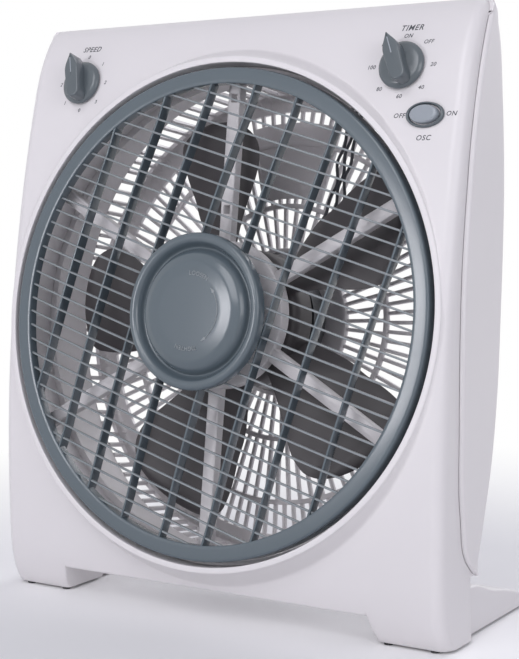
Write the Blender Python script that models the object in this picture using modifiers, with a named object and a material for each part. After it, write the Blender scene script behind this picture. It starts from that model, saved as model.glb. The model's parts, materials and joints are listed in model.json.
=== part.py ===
"""An electric box fan: two leaning housings round a fan and its motor, and a turning louvre grille in front.

Lengths are in metres, with +Z up and the front facing -Y. Shapes of the housings are worked out with y = 0
at the louvre ring's centre; the fan's own frame has its origin there, Z forward along the axis and Y up.
"""

import math

import bmesh
import bpy
import numpy as np
from mathutils import Matrix

# Housings
WIDTH = 0.380
HEIGHT = 0.429
TILT = math.radians(8.57)
WALL = 0.0025
GAP = 0.0003
AXIS_RAISE = 0.0039
FACE_RADIUS = 1.087
BOW_RAISE = 0.0166
TOP_ROLL = (0.050, 0.016)
BOTTOM_ROLL = (0.040, 0.014)
SIDE_STEP = 0.003
FACE_CORNER = (0.009, 0.010)
STEP_CORNER = (0.003, 0.003)
REAR_CORNER = (0.008, 0.007)
TOP_CORNER = (0.009, 0.0054)
CORNER_SHARE = 0.42
REAR_BULGE = 0.003
LEAST_DEPTH = 0.002
CLOSED_TOP = 0.012
BASE = 0.002
ARCH_HEIGHT = 0.0205
LEG_TOP = 0.060
LEG_FLOOR = 0.0555
# Each point is a share of the height and a depth behind the bowed plane of the face.
REAR_LINE = (
    (0.0, 0.0315), (0.107, 0.0480), (0.188, 0.0608), (0.279, 0.0723), (0.372, 0.0778), (0.514, 0.0773),
    (0.735, 0.0649), (0.858, 0.0493), (0.942, 0.0355), (0.982, 0.0250), (1.0, 0.0190),
)
PARTING_LINE = (
    (0.107, 0.0480), (0.133, 0.0362), (0.205, 0.0277), (0.350, 0.0235), (0.495, 0.0187), (0.580, 0.0158),
    (0.691, 0.0135), (0.807, 0.0116), (0.942, 0.0139), (1.0, 0.0175),
)
AXIS_HEIGHT = HEIGHT / 2 + AXIS_RAISE
LEDGE = PARTING_LINE[0][0] * HEIGHT
ARCH_HALF_TOP = WIDTH / 2 - LEG_TOP
ARCH_HALF_FLOOR = WIDTH / 2 - LEG_FLOOR

# Collar and duct. The round opening is the largest that keeps its margins to the sides, the top and the arch.
SIDE_MARGIN = 0.0080
TOP_MARGIN = 0.0300
ARCH_MARGIN = 0.0175
COLLAR_LAND = 0.0045
COLLAR_STAND = 0.001
COLLAR_EDGE = 0.0012
COLLAR_LIP = 0.0015
COLLAR_SLOPE = (0.008, 0.017)
COLLAR_LIMIT = 0.0005
COLLAR_BITE = 0.0012
DUCT_DEPTH = 0.040
ROOM = min(HEIGHT - TOP_MARGIN - AXIS_HEIGHT, AXIS_HEIGHT - ARCH_HEIGHT - ARCH_MARGIN) / math.cos(TILT)
COLLAR_RADIUS = min(WIDTH / 2 - SIDE_MARGIN, ROOM) - COLLAR_LAND

# Louvre grille and its carrier, along the fan's axis
RING_CLEARANCE = 0.0035
RING_WIDTH = 0.0115
RING_STAND = 0.002
RING_DEPTH = 0.008
RING_EDGES = (0.0012, 0.0025)
DOME = 0.011
LOUVRE_LEAN = math.radians(16.2)
SLAT_MARGIN = 0.03545
SLATS = 8
SLAT_DEPTH = 0.011
SLAT_THICKNESS = 0.0016
SLAT_CANT = math.radians(8)
BAR_MARGIN = 0.00522
BARS = 17
BAR_SECTION = (0.0016, 0.0022)
HUB_RADIUS = 0.050
HUB_THICKNESS = 0.005
HUB_SINK = 0.0008
HUB_BOSS = (0.010, 0.002)
SPINDLE_RADIUS = 0.004
SPINDLE_REACH = 0.0055
CARRIER_FRONT = 0.0145
CARRIER_THICKNESS = 0.003
CARRIER_RADIUS = 0.053
ARM_WIDTH = 0.010
ARM_DEPTH = 0.009
ARM_INSET = (0.0006, 0.0005)
ARM_ROOT = 0.010
ARM_HOLE = (0.005, 0.006)
ARM_HOLE_PLACES = (0.022, 0.0225)
CARRIER_RING = 0.003
LOUVRE_MOTOR = (0.025, 0.0145)
RING_RADIUS = COLLAR_RADIUS - RING_CLEARANCE
RING_BORE = RING_RADIUS - RING_WIDTH
SLAT_PITCH = 2 * (RING_BORE - SLAT_MARGIN) / (SLATS - 1)
BAR_PITCH = 2 * (RING_BORE - BAR_MARGIN) / (BARS - 1)
CARRIER_BACK = CARRIER_FRONT + CARRIER_THICKNESS

# Lock cap
CAP_RADIUS = 0.05515
CAP_FRONT = 0.0195
CAP_RECESS = 0.003
BUTTON_RADIUS = 0.043
BUTTON_FRONT = 0.0222
GROOVE_FRONT = 0.0128

# Fan and motor, stacked from the louvre motor back to the rear guard
SHAFT_RADIUS = 0.004
BLADES = 5
BLADE_CLEARANCE = 0.0220
BLADE_ANGLE = math.radians(42)
BLADE_SWEEP = math.radians(9)
BLADE_START = math.radians(33)
BLADE_DEPTH = 0.024
BLADE_CAMBER = 0.004
BLADE_THICKNESS = 0.0018
BLADE_ROOT = 0.0015
BLADE_BEHIND = 0.0095
HUB_SIZE = (0.050, 0.023)
HUB_WALL = 0.003
HUB_CORE = 0.010
NUT_SIZE = (0.008, 0.0037)
NUT_CLEARANCE = 0.0015
NUT_FACE = 0.0015
MOTOR_CLEARANCE = 0.004
BRACKET_RADIUS = 0.040
BRACKET_DEPTH = 0.0085
BRACKET_FLOOR = 0.002
BRACKET_ROUND = 0.004
STATOR_RADIUS = 0.044
STATOR_DEPTH = 0.0165
ROTOR_RADIUS = 0.022
ROTOR_INSET = 0.001
AIR_GAP = 0.0006
BEARING = (0.008, 0.006)
BOSS_RADIUS = 0.006
BOSS_CIRCLE = 0.032
BOSS_LENGTH = 0.0051
MOTOR_SCREWS = 4
SCREW_RADIUS = 0.002
SCREW_HEAD = (0.0038, 0.002)
SCREW_LENGTH = 0.012
NUT_FRONT = CARRIER_BACK + GAP + LOUVRE_MOTOR[1] + NUT_CLEARANCE
HUB_FRONT = NUT_FRONT + NUT_SIZE[1]
HUB_BACK = HUB_FRONT + HUB_SIZE[1]
BLADE_MIDDLE = HUB_FRONT + BLADE_BEHIND
MOTOR_FRONT = HUB_BACK + MOTOR_CLEARANCE
MOTOR_BACK = MOTOR_FRONT + 2 * BRACKET_DEPTH + STATOR_DEPTH + 3 * GAP

# Well and rear guard
WELL_INSET = 0.0050
WELL_BEHIND = 0.006
GUARD_CENTRE = 0.054
GUARD_CORNER = 0.010
GUARD_RIBS = 24
GUARD_BANDS = (0.002, 0.003, 0.0035)
RIB_WIDTH = 0.0040
SLOT_REACH = 0.012
WELL_RADIUS = COLLAR_RADIUS - WELL_INSET
WELL_FRONT = DUCT_DEPTH + WELL_BEHIND
BLADE_RADIUS = WELL_RADIUS - BLADE_CLEARANCE
GUARD_RADIUS = WELL_RADIUS - GUARD_CORNER
GUARD_DEPTH = MOTOR_BACK + BOSS_LENGTH

# Controls, placed on the front face from its sides and its top
DIAL_INSET = 0.0535
DIAL_DROP = 0.0438
KNOB_RADIUS = 0.0165
KNOB_BASE = 0.005
KNOB_CROWN = 0.0012
KNOB_STAND = 0.0009
KNOB_HEIGHT = 0.015
KNOB_ROOF = 0.003
KNOB_NOSE = 0.021
KNOB_GRIP = 0.0055
KNOB_SHAFT = 0.003
SOCKET_DEPTH = 0.006
BODY_CLEARANCE = 0.0012
SPEED_REST = math.radians(16)
TIMER_REST = math.radians(24)
SPEED_BODY = (0.030, 0.030, 0.022)
TIMER_BODY = (0.038, 0.038, 0.026)
ROCKER_INSET = 0.032
ROCKER_DROP = 0.077
BEZEL = (0.0140, 0.0088, 0.0025)
BEZEL_SEAT = 0.0005
BUTTON = (0.0105, 0.0062, 0.0045)
BUTTON_SINK = 0.0035
BUTTON_CLEARANCE = 0.0008
ROCKER_TILT = math.radians(6)
SWITCH_BODY = (0.027, 0.020, 0.014)
BODY_ROUNDING = 0.001
DIAL_X = WIDTH / 2 - DIAL_INSET
DIAL_HEIGHT = HEIGHT - DIAL_DROP
ROCKER_X = WIDTH / 2 - ROCKER_INSET
ROCKER_HEIGHT = HEIGHT - ROCKER_DROP

# Feet, screws and wiring
FOOT_INSET = 0.009
FOOT_WIDTH = 0.044
FOOT_REAR = 0.142
FOOT_CLEARANCE = 0.0012
FOOT_TIP = 0.0015
FOOT_ROUNDING = 0.0025
FOOT_FRONT_HEIGHTS = (0.012, 0.024, 0.0345)
# Each point is a share of the way from the leg to the foot's rear and a height.
FOOT_TOP = ((0.060, 0.0350), (0.440, 0.0245), (0.765, 0.0165), (0.880, 0.0125), (0.960, 0.0070))
TONGUE = (0.016, 0.012)
TONGUE_HEIGHT = 0.008
TONGUE_REACH = (0.022, 0.013)
STUD_RADIUS = 0.0035
STUD_TAPER = 0.85
FRONT_STUD_INSETS = (0.050, 0.015)
FRONT_STUD_Y = 0.006
REAR_STUD_INSET = 0.014
UPPER_SCREW_X = 0.080
UPPER_SCREW_DROP = 0.027
LOWER_SCREW_INSET = 0.032
LOWER_SCREW_RISE = 0.0221
POST_RADIUS = 0.005
POST_BITE = 0.0005
SLEEVE_WALL = 0.001
SLEEVE = (0.0025, 0.0137)
SCREW_SINK = 0.004
SEAT_DEPTH = 0.006
LONG_SCREW = 0.022
CAPACITOR = (0.038, 0.014, 0.016)
CAPACITOR_X = 0.020
CAPACITOR_DROP = 0.004
GLAND_INSET = 0.066
GLAND_RISE = 0.0241
GLAND_RADIUS = 0.006
GLAND_FLANGE = 0.002
GLAND_LENGTH = (0.010, 0.006, 0.004, 0.0012)
WIRE_RADIUS = 0.0012
WIRES = 3
WIRE_SPACING = 0.0045
WIRE_ANGLE = math.radians(62)
WIRE_RISE = 0.018
WIRE_DROP = 0.005
WIRE_TURNS = (0.026, 0.0225, 0.0065)
WIRE_CLIMB = (0.013, 0.0105, 0.0025)
WIRE_EXIT = WELL_FRONT + 0.0065
NOTCH = (0.012, 0.001, 0.0045)
FOOT_OUTER = WIDTH / 2 - FOOT_INSET
FOOT_X = (FOOT_OUTER - FOOT_WIDTH, FOOT_OUTER)
HOUSING_SCREWS = (
    (UPPER_SCREW_X, HEIGHT - UPPER_SCREW_DROP),
    (WIDTH / 2 - LOWER_SCREW_INSET, LEDGE + LOWER_SCREW_RISE),
)
GLAND_X = WIDTH / 2 - GLAND_INSET
GLAND_HEIGHT = LEDGE + GLAND_RISE

ROUND = 32
# Cutters reach this far past everything.
BEYOND = (WIDTH + HEIGHT) / 2
# The collar's lowest point is the foremost one. The middle of the depth is at y = 0.
FRONT_REACH = (COLLAR_RADIUS + COLLAR_LAND - COLLAR_EDGE) * math.sin(TILT) + COLLAR_STAND * math.cos(TILT)
RING_Y = (FRONT_REACH - FOOT_REAR) / 2

for old in list(bpy.data.objects):
    bpy.data.objects.remove(old)


def make_collection(name):
    made = bpy.data.collections.new(name)
    bpy.context.scene.collection.children.link(made)
    return made


PARTS = make_collection("electric_box_fan")
CUTTERS = make_collection("cutters")
CUTTERS.hide_render = True


def linear(channel):
    return channel / 12.92 if channel <= 0.04045 else ((channel + 0.055) / 1.055) ** 2.4


def make_material(name, colour, roughness, metallic=0.0):
    """A Principled material from an sRGB colour written as six hex digits."""
    made = bpy.data.materials.new(name)
    made.use_nodes = True
    shader = made.node_tree.nodes["Principled BSDF"]
    channels = [linear(int(colour[i:i + 2], 16) / 255) for i in (0, 2, 4)]
    shader.inputs["Base Color"].default_value = (*channels, 1)
    shader.inputs["Roughness"].default_value = roughness
    shader.inputs["Metallic"].default_value = metallic
    return made


WHITE = make_material("white_abs", "DEDBE0", 0.35)
GREY = make_material("grey_abs", "68737C", 0.30)
KNOB_GREY = make_material("knob_abs", "5A6267", 0.25)
BUTTON_GREY = make_material("button_abs", "A5ACB2", 0.30)
BLADE_GREY = make_material("blade_pp", "4F4D50", 0.45)
RUBBER = make_material("rubber", "2B2B2D", 0.80)
STEEL = make_material("steel", "B9BCC0", 0.30, 1.0)
CAST = make_material("cast_zinc", "9DA1A6", 0.50, 1.0)
LAMINATION = make_material("lamination_steel", "6E7073", 0.55, 1.0)
BRONZE = make_material("sintered_bronze", "9A7B4F", 0.50, 1.0)
BLACK = make_material("black_nylon", "26272A", 0.50)
PVC = make_material("wire_pvc", "3A3C42", 0.45)


def place(obj, material=None, frame=None, at=(0, 0, 0), turn=None):
    """Puts a new object in its collection: a part if it has a material, else a hidden cutter."""
    (PARTS if material else CUTTERS).objects.link(obj)
    if material:
        obj.data.materials.append(material)
    else:
        obj.hide_render = True
        obj.display_type = "WIRE"
    obj.parent = frame
    obj.matrix_basis = Matrix.Translation(at) @ (turn or Matrix.Identity(4))
    return obj


def empty(name, at, turn, parent=None):
    made = bpy.data.objects.new(name, None)
    PARTS.objects.link(made)
    made.parent = parent
    made.matrix_basis = Matrix.Translation(at) @ turn
    return made


def about_x(angle):
    return Matrix.Rotation(angle, 4, "X")


def about_z(angle):
    return Matrix.Rotation(angle, 4, "Z")


def turned(name, profile, material=None, frame=None, at=(0, 0, 0), turn=None, steps=ROUND):
    """Revolves a profile of (radius, height) points, which runs down its outer side, about Z."""
    on_axis = profile[0][0] == 0
    edges = [(i, i + 1) for i in range(len(profile) - 1)]
    if not on_axis:
        edges.append((len(profile) - 1, 0))
    mesh = bpy.data.meshes.new(name)
    mesh.from_pydata([(radius, 0, height) for radius, height in profile], edges, [])
    made = place(bpy.data.objects.new(name, mesh), material, frame, at, turn)
    screw = made.modifiers.new("turn", "SCREW")
    screw.steps = steps
    screw.render_steps = steps
    screw.use_merge_vertices = True
    screw.merge_threshold = 0.00002
    screw.use_smooth_shade = True
    return made


def cylinder(name, radius, low, high, material=None, frame=None, at=(0, 0, 0), turn=None, steps=16):
    profile = ((0, high), (radius, high), (radius, low), (0, low))
    return turned(name, profile, material, frame, at, turn, steps)


def ring(name, radius, bore, low, high, material=None, frame=None, steps=ROUND, turn=None):
    profile = ((bore, high), (radius, high), (radius, low), (bore, low))
    return turned(name, profile, material, frame, steps=steps, turn=turn)


def box(name, low, high, material=None, frame=None, at=(0, 0, 0), turn=None, rounding=0.0):
    """A box between two corners, with its edges rounded by a Bevel if asked."""
    mesh = bpy.data.meshes.new(name)
    sides = [b - a for a, b in zip(low, high)]
    middle = [(a + b) / 2 for a, b in zip(low, high)]
    made = bmesh.new()
    bmesh.ops.create_cube(made, size=1, matrix=Matrix.Translation(middle) @ Matrix.Diagonal((*sides, 1)))
    made.to_mesh(mesh)
    made.free()
    obj = place(bpy.data.objects.new(name, mesh), material, frame, at, turn)
    if rounding:
        bevel = obj.modifiers.new("rounding", "BEVEL")
        bevel.width = rounding
        bevel.segments = 2
    return obj


def slab(name, outline, low, high, material=None, frame=None, at=(0, 0, 0), turn=None, rounding=0.0):
    """A flat outline in XY, given thickness from low to high along Z."""
    curve = bpy.data.curves.new(name, "CURVE")
    curve.dimensions = "2D"
    curve.fill_mode = "BOTH"
    curve.extrude = (high - low) / 2
    spline = curve.splines.new("POLY")
    spline.points.add(len(outline) - 1)
    for point, (x, y) in zip(spline.points, outline):
        point.co = (x, y, 0, 1)
    spline.use_cyclic_u = True
    drawn = bpy.data.objects.new(name + "_outline", curve)
    CUTTERS.objects.link(drawn)
    graph = bpy.context.evaluated_depsgraph_get()
    mesh = bpy.data.meshes.new_from_object(drawn.evaluated_get(graph))
    bpy.data.objects.remove(drawn)
    welded = bmesh.new()
    welded.from_mesh(mesh)
    bmesh.ops.remove_doubles(welded, verts=welded.verts, dist=0.000005)
    bmesh.ops.translate(welded, verts=welded.verts, vec=(0, 0, (high + low) / 2))
    bmesh.ops.recalc_face_normals(welded, faces=welded.faces)
    welded.to_mesh(mesh)
    welded.free()
    mesh.name = name
    obj = place(bpy.data.objects.new(name, mesh), material, frame, at, turn)
    if rounding:
        bevel = obj.modifiers.new("rounding", "BEVEL")
        bevel.width = rounding
        bevel.segments = 2
        bevel.limit_method = "ANGLE"
    return obj


def boolean(obj, other, operation):
    modifier = obj.modifiers.new(other.name, "BOOLEAN")
    modifier.object = other
    modifier.operation = operation
    return obj


def cut(obj, *cutters):
    for cutter in cutters:
        boolean(obj, cutter, "DIFFERENCE")
    return obj


def add(obj, *others):
    for other in others:
        boolean(obj, other, "UNION")
    return obj


def curve_through(points, at):
    """A smooth curve through (place, value) points in rising order, read at one place."""
    places, values = np.array(points).T
    slopes = np.gradient(values, places)
    i = int(np.clip(np.searchsorted(places, at) - 1, 0, len(places) - 2))
    span = places[i + 1] - places[i]
    t = min(max((at - places[i]) / span, 0), 1)
    start = (2 * t**3 - 3 * t**2 + 1) * values[i] + (t**3 - 2 * t**2 + t) * span * slopes[i]
    return start + (3 * t**2 - 2 * t**3) * values[i + 1] + (t**3 - t**2) * span * slopes[i + 1]


def roll(along, size):
    """Depth of an elliptic rounding, `along` into its length."""
    share = min(max(along / size[0], 0), 1)
    return size[1] * (1 - math.sqrt(1 - share * share))


def plane_y(z):
    """The face's bowed plane: the ring's plane and an upright bow about a height above the axis."""
    return (z - AXIS_HEIGHT) * math.tan(TILT) + (z - AXIS_HEIGHT - BOW_RAISE) ** 2 / (2 * FACE_RADIUS)


def face_y(z):
    """The front face, with the rounding into its top and bottom edges."""
    return plane_y(z) + roll(z - HEIGHT + TOP_ROLL[0], TOP_ROLL) + roll(BOTTOM_ROLL[0] - z, BOTTOM_ROLL)


def slope_of(depth_at, z, step=0.001):
    """The lean of a wall from the upright, from its depth a little above and below."""
    return math.atan((depth_at(z + step) - depth_at(z - step)) / (2 * step))


def parting_y(z):
    return plane_y(z) + curve_through(PARTING_LINE, z / HEIGHT)


def back_y(z):
    """The back wall: the side's rear edge, and a bulge that fades out at the top and the floor."""
    fade = 1 - (2 * z / HEIGHT - 1) ** 6
    back = plane_y(z) + curve_through(REAR_LINE, z / HEIGHT) + REAR_BULGE * fade
    return max(back, parting_y(z) + LEAST_DEPTH)


def levels(low, high, count):
    """Heights from low to high, closer together at both ends."""
    return [low + (high - low) * (1 - math.cos(math.pi * i / count)) / 2 for i in range(count + 1)]


def section(half, front, back, front_corner, back_corner, steps=4):
    """One level of a housing, seen from above: straight sides and elliptic corners, counter-clockwise."""
    most = CORNER_SHARE * (back - front)
    corners = (
        (-1, front, front_corner, 180), (1, front, front_corner, 270),
        (1, back, back_corner, 0), (-1, back, back_corner, 90),
    )
    points = []
    for side, edge, (across, deep), start in corners:
        deep = min(deep, most)
        middle_y = edge + deep if start >= 180 else edge - deep
        for k in range(steps + 1):
            angle = math.radians(start + 90 * k / steps)
            x = side * (half - across) + across * math.cos(angle)
            points.append((x, middle_y + deep * math.sin(angle)))
    return points


def loft(name, heights, section_at, material=None):
    """A closed body through level sections with the same number of points."""
    made = bmesh.new()
    rows = []
    for z in heights:
        rows.append([made.verts.new((x, y, z)) for x, y in section_at(z)])
    for lower, upper in zip(rows, rows[1:]):
        for k, corner in enumerate(lower):
            made.faces.new((lower[k - 1], corner, upper[k], upper[k - 1]))
    made.faces.new(reversed(rows[0]))
    made.faces.new(rows[-1])
    mesh = bpy.data.meshes.new(name)
    made.to_mesh(mesh)
    made.free()
    return place(bpy.data.objects.new(name, mesh), material, at=(0, RING_Y, 0))


def half_width(z, step):
    return WIDTH / 2 - step - roll(z - HEIGHT + TOP_CORNER[0], TOP_CORNER)


def front_section(inset, steps):
    def at(z):
        half = half_width(z, SIDE_STEP) - inset
        return section(half, face_y(z) + inset, back_y(z) - inset, FACE_CORNER, REAR_CORNER, steps)
    return at


def rear_section(inset, forward, steps):
    def at(z):
        front = parting_y(z) + GAP - forward
        return section(half_width(z, 0) - inset, front, back_y(z) - inset, STEP_CORNER, REAR_CORNER, steps)
    return at


def side_slab(name, outline, half):
    """An outline of (depth, height) points, run across the housing's width as a cutter."""
    turn = Matrix(((0, 0, 1, 0), (1, 0, 0, 0), (0, 1, 0, 0), (0, 0, 0, 1)))
    return slab(name, outline, -half, half, at=(0, RING_Y, 0), turn=turn)


fan_frame = empty("fan_axis", (0, RING_Y, AXIS_HEIGHT), about_x(math.pi / 2 - TILT))


def control_frame(name, x, height, rest=0.0):
    """A frame on the front face, Z out along the face's normal and Y up the face."""
    at = (x, RING_Y + face_y(height), height)
    return empty(name, at, about_x(math.pi / 2 - slope_of(face_y, height)) @ about_z(rest))


speed_frame = control_frame("speed_axis", -DIAL_X, DIAL_HEIGHT, SPEED_REST)
timer_frame = control_frame("timer_axis", DIAL_X, DIAL_HEIGHT, TIMER_REST)
rocker_frame = control_frame("rocker_axis", ROCKER_X, ROCKER_HEIGHT)
speed_seat = control_frame("speed_seat", -DIAL_X, DIAL_HEIGHT)
timer_seat = control_frame("timer_seat", DIAL_X, DIAL_HEIGHT)
seat_depth = WALL + BODY_CLEARANCE


def arch_outline(grow):
    """The gap between the legs, seen from the front; grow leaves a wall round it."""
    floor, top = ARCH_HALF_FLOOR + grow, ARCH_HALF_TOP + grow
    below = BASE - ARCH_HEIGHT
    low = floor + (floor - top) * (BASE - below) / (ARCH_HEIGHT - BASE)
    return ((-low, below), (low, below), (top, ARCH_HEIGHT + grow), (-top, ARCH_HEIGHT + grow))


def arch(name, grow):
    return slab(name, arch_outline(grow), -BEYOND, BEYOND, at=(0, RING_Y, 0), turn=about_x(math.pi / 2))


def screw_frame(side, x, z, name):
    """A frame at a housing screw's head, Z pointing back out of the rear wall."""
    return empty(name, (side * x, RING_Y + back_y(z) - SCREW_SINK, z), about_x(-math.pi / 2))


def screw_places():
    """Side, tag, x and height of each housing screw."""
    for x, z in HOUSING_SCREWS:
        level = "upper" if z > AXIS_HEIGHT else "lower"
        for side, tag in ((-1, "left"), (1, "right")):
            yield side, f"{level}_{tag}", x, z


def make_front_housing():
    housing = loft("front_housing", levels(BASE, HEIGHT, 18), front_section(0, 4), WHITE)
    hollow = loft("front_hollow", levels(BASE + WALL, HEIGHT - CLOSED_TOP, 11), front_section(WALL, 2))
    cut(hollow, arch("arch_walls", WALL))
    bore = cylinder("collar_bore", COLLAR_RADIUS + COLLAR_BITE, -BEYOND, BEYOND, frame=fan_frame, steps=48)
    behind = [(parting_y(z) - GAP, z) for z in levels(LEDGE, HEIGHT, 12)]
    outline = [(BEYOND, LEDGE), *behind, (behind[-1][0], BEYOND + HEIGHT), (BEYOND, BEYOND + HEIGHT)]
    cut(housing, hollow, arch("arch_gap", 0), bore, side_slab("behind_parting", outline, WIDTH))
    add(housing, make_collar())

    for frame in (speed_seat, timer_seat):
        depth = seat_depth + WALL
        hole = cylinder("shaft_hole_" + frame.name, KNOB_SHAFT + GAP, -depth, depth, frame=frame, steps=12)
        cut(housing, hole)
    x, y = (size + 2 * BUTTON_CLEARANCE for size in BUTTON[:2])
    depth = BUTTON_SINK + 2 * WALL
    cut(housing, box("rocker_window", (-x, -y, -depth), (x, y, depth), frame=rocker_frame))
    for side, tag, x, z in screw_places():
        frame = screw_frame(side, x, z, "post_" + tag)
        wall = max(face_y(z + POST_RADIUS), face_y(z - POST_RADIUS)) + POST_BITE
        front, tip = wall - back_y(z) + SCREW_SINK, -screw_tip() - SCREW_SINK
        post = cylinder("post_body_" + tag, POST_RADIUS, front, -SLEEVE[1] - GAP, frame=frame, steps=10)
        pilot = cylinder("pilot_" + tag, SCREW_RADIUS + GAP, tip, 0, frame=frame, steps=8)
        add(housing, post)
        cut(housing, pilot)
    for side in (-1, 1):
        cut(housing, tongue("tongue_slot", side, GAP))
    return housing


def make_collar():
    """The raised land round the opening, its slope into the face and the duct behind it."""
    land = COLLAR_RADIUS + COLLAR_LAND
    foot = land + COLLAR_SLOPE[0]
    inner = COLLAR_RADIUS + WALL
    floor = -COLLAR_SLOPE[1] - WALL
    collar = turned("collar", (
        (COLLAR_RADIUS, COLLAR_STAND - COLLAR_LIP), (COLLAR_RADIUS + COLLAR_LIP, COLLAR_STAND),
        (land - COLLAR_EDGE, COLLAR_STAND), (land, COLLAR_STAND - COLLAR_EDGE),
        (foot, COLLAR_STAND - COLLAR_SLOPE[1]), (foot, floor), (inner, floor),
        (inner, -DUCT_DEPTH), (COLLAR_RADIUS, -DUCT_DEPTH),
    ), frame=fan_frame, steps=48)
    inside = WIDTH / 2 - SIDE_STEP - COLLAR_LIMIT
    limit = box("collar_limit", (-inside, -BEYOND, 0), (inside, BEYOND, HEIGHT + BEYOND))
    return boolean(collar, limit, "INTERSECT")


def screw_tip():
    """How far a housing screw reaches forward of its frame."""
    return SEAT_DEPTH + LONG_SCREW


def tongue(name, side, grow):
    """The peg at a foot bar's front, which enters a slot in the leg's rear wall."""
    middle = side * sum(FOOT_X) / 2
    half = TONGUE[0] / 2 + grow
    wall = back_y(TONGUE_HEIGHT)
    low = (middle - half, wall - TONGUE_REACH[0], TONGUE_HEIGHT - grow)
    high = (middle + half, wall + TONGUE_REACH[1], TONGUE_HEIGHT + TONGUE[1] + grow)
    return box(f"{name}_{'left' if side < 0 else 'right'}", low, high, at=(0, RING_Y, 0))


def slot_cutter(angle, inner, outer, ribs):
    """One opening of the guard: a wedge between two ribs and two rings, as corner points."""
    half_step = math.pi / ribs
    corners = []
    for radius, side in ((inner, -1), (outer, -1), (outer, 1), (inner, 1)):
        spread = half_step - RIB_WIDTH / 2 / radius
        corners.append((radius * math.cos(angle + side * spread), radius * math.sin(angle + side * spread)))
    return corners


def back_wall_depth(angle):
    """How far behind the ring the well's outside meets the back wall, at an angle round the fan's axis."""
    depth = GUARD_DEPTH / 2
    for _ in range(8):
        z = AXIS_HEIGHT + (WELL_RADIUS + WALL) * math.sin(angle) * math.cos(TILT) - depth * math.sin(TILT)
        depth = back_y(z) * math.cos(TILT) - (z - AXIS_HEIGHT) * math.sin(TILT)
    return depth


def guard_slots():
    """All openings of the rear guard in one cutter, as separate wedges that don't touch."""
    made = bmesh.new()
    middle = (GUARD_CENTRE + GUARD_RADIUS) / 2
    ring_half, inside, rim = GUARD_BANDS
    floor = (GUARD_DEPTH - SLOT_REACH, GUARD_DEPTH + SLOT_REACH)
    rows = ((GUARD_CENTRE, middle - ring_half, floor), (middle + ring_half, GUARD_RADIUS - inside, floor),
            (WELL_RADIUS - WALL, WELL_RADIUS + 3 * WALL, None))
    for inner, outer, depths in rows:
        for k in range(GUARD_RIBS):
            angle = 2 * math.pi * k / GUARD_RIBS
            step = math.pi / GUARD_RIBS
            walls = (back_wall_depth(a) for a in (angle - step, angle, angle + step))
            front, rear = depths or (max(walls) + rim, GUARD_DEPTH - GUARD_CORNER)
            outline = slot_cutter(angle, inner, outer, GUARD_RIBS)
            low = [made.verts.new((x, y, -rear)) for x, y in outline]
            high = [made.verts.new((x, y, -front)) for x, y in outline]
            made.faces.new(reversed(low))
            made.faces.new(high)
            for i in range(4):
                made.faces.new((low[i - 1], low[i], high[i], high[i - 1]))
    bmesh.ops.recalc_face_normals(made, faces=made.faces)
    mesh = bpy.data.meshes.new("guard_slots")
    made.to_mesh(mesh)
    made.free()
    return place(bpy.data.objects.new("guard_slots", mesh), frame=fan_frame)


def wire_notch():
    """The way out of the well for the motor's wires."""
    reach, aside, half_depth = NOTCH
    half = WIRES * WIRE_SPACING / 2 + aside
    low = (WELL_RADIUS - reach, -half, -WIRE_EXIT - half_depth)
    high = (WELL_RADIUS + reach, half, -WIRE_EXIT + half_depth)
    return box("wire_notch", low, high, frame=fan_frame, turn=about_z(WIRE_ANGLE))


def make_bowl():
    """The well, which goes on behind the back wall as the guard: a ribbed basket with a flat floor."""
    outside, shoulder = WELL_RADIUS + WALL, 0.3 * GUARD_CORNER
    floor = -GUARD_DEPTH + WALL
    bowl = turned("bowl", (
        (0, floor), (GUARD_RADIUS, floor), (WELL_RADIUS - shoulder, floor + shoulder),
        (WELL_RADIUS, floor + GUARD_CORNER), (WELL_RADIUS, -WELL_FRONT), (outside, -WELL_FRONT),
        (outside, -GUARD_DEPTH + GUARD_CORNER), (outside - shoulder, -GUARD_DEPTH + shoulder),
        (outside - GUARD_CORNER, -GUARD_DEPTH), (0, -GUARD_DEPTH),
    ), frame=fan_frame, steps=48)
    return cut(bowl, guard_slots())


def make_rear_housing():
    bottom = LEDGE + GAP
    housing = loft("rear_housing", levels(bottom, HEIGHT, 18), rear_section(0, 0, 4), WHITE)
    hollow = loft("rear_hollow", levels(bottom + WALL, HEIGHT - CLOSED_TOP, 11), rear_section(WALL, WIDTH, 2))
    well_bore = cylinder("well_bore", WELL_RADIUS + WALL / 2, -BEYOND, BEYOND, frame=fan_frame, steps=48)
    cut(housing, hollow, well_bore)
    add(housing, make_bowl())
    for k in range(MOTOR_SCREWS):
        at = boss_place(k)
        boss = cylinder(f"motor_boss_{k + 1}", BOSS_RADIUS, -GUARD_DEPTH + BOSS_LENGTH / 5, -MOTOR_BACK,
                        frame=fan_frame, at=at, steps=12)
        hole = cylinder(f"boss_hole_{k + 1}", SCREW_RADIUS + GAP, -GUARD_DEPTH - WALL, -MOTOR_BACK + WALL,
                        frame=fan_frame, at=at, steps=10)
        add(housing, boss)
        cut(housing, hole)
    for side, tag, x, z in screw_places():
        frame = screw_frame(side, x, z, "sleeve_" + tag)
        (rear, front), outside, hole = SLEEVE, POST_RADIUS + SLEEVE_WALL, SCREW_RADIUS + GAP
        sleeve = cylinder("sleeve_body_" + tag, outside, -front, rear, frame=frame, steps=12)
        shank = cylinder("shank_hole_" + tag, hole, -front - WALL, rear + WALL, frame=frame, steps=8)
        seat = cylinder("head_seat_" + tag, SCREW_HEAD[0] + GAP, -SEAT_DEPTH, BEYOND, frame=frame, steps=12)
        add(housing, sleeve)
        cut(housing, shank, seat)
    cut(housing, wire_notch())
    reach = GLAND_LENGTH[0] + WALL
    hole = cylinder("gland_hole", GLAND_RADIUS + GAP, -reach, reach, at=gland_place(), turn=gland_turn())
    return cut(housing, hole)


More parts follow.
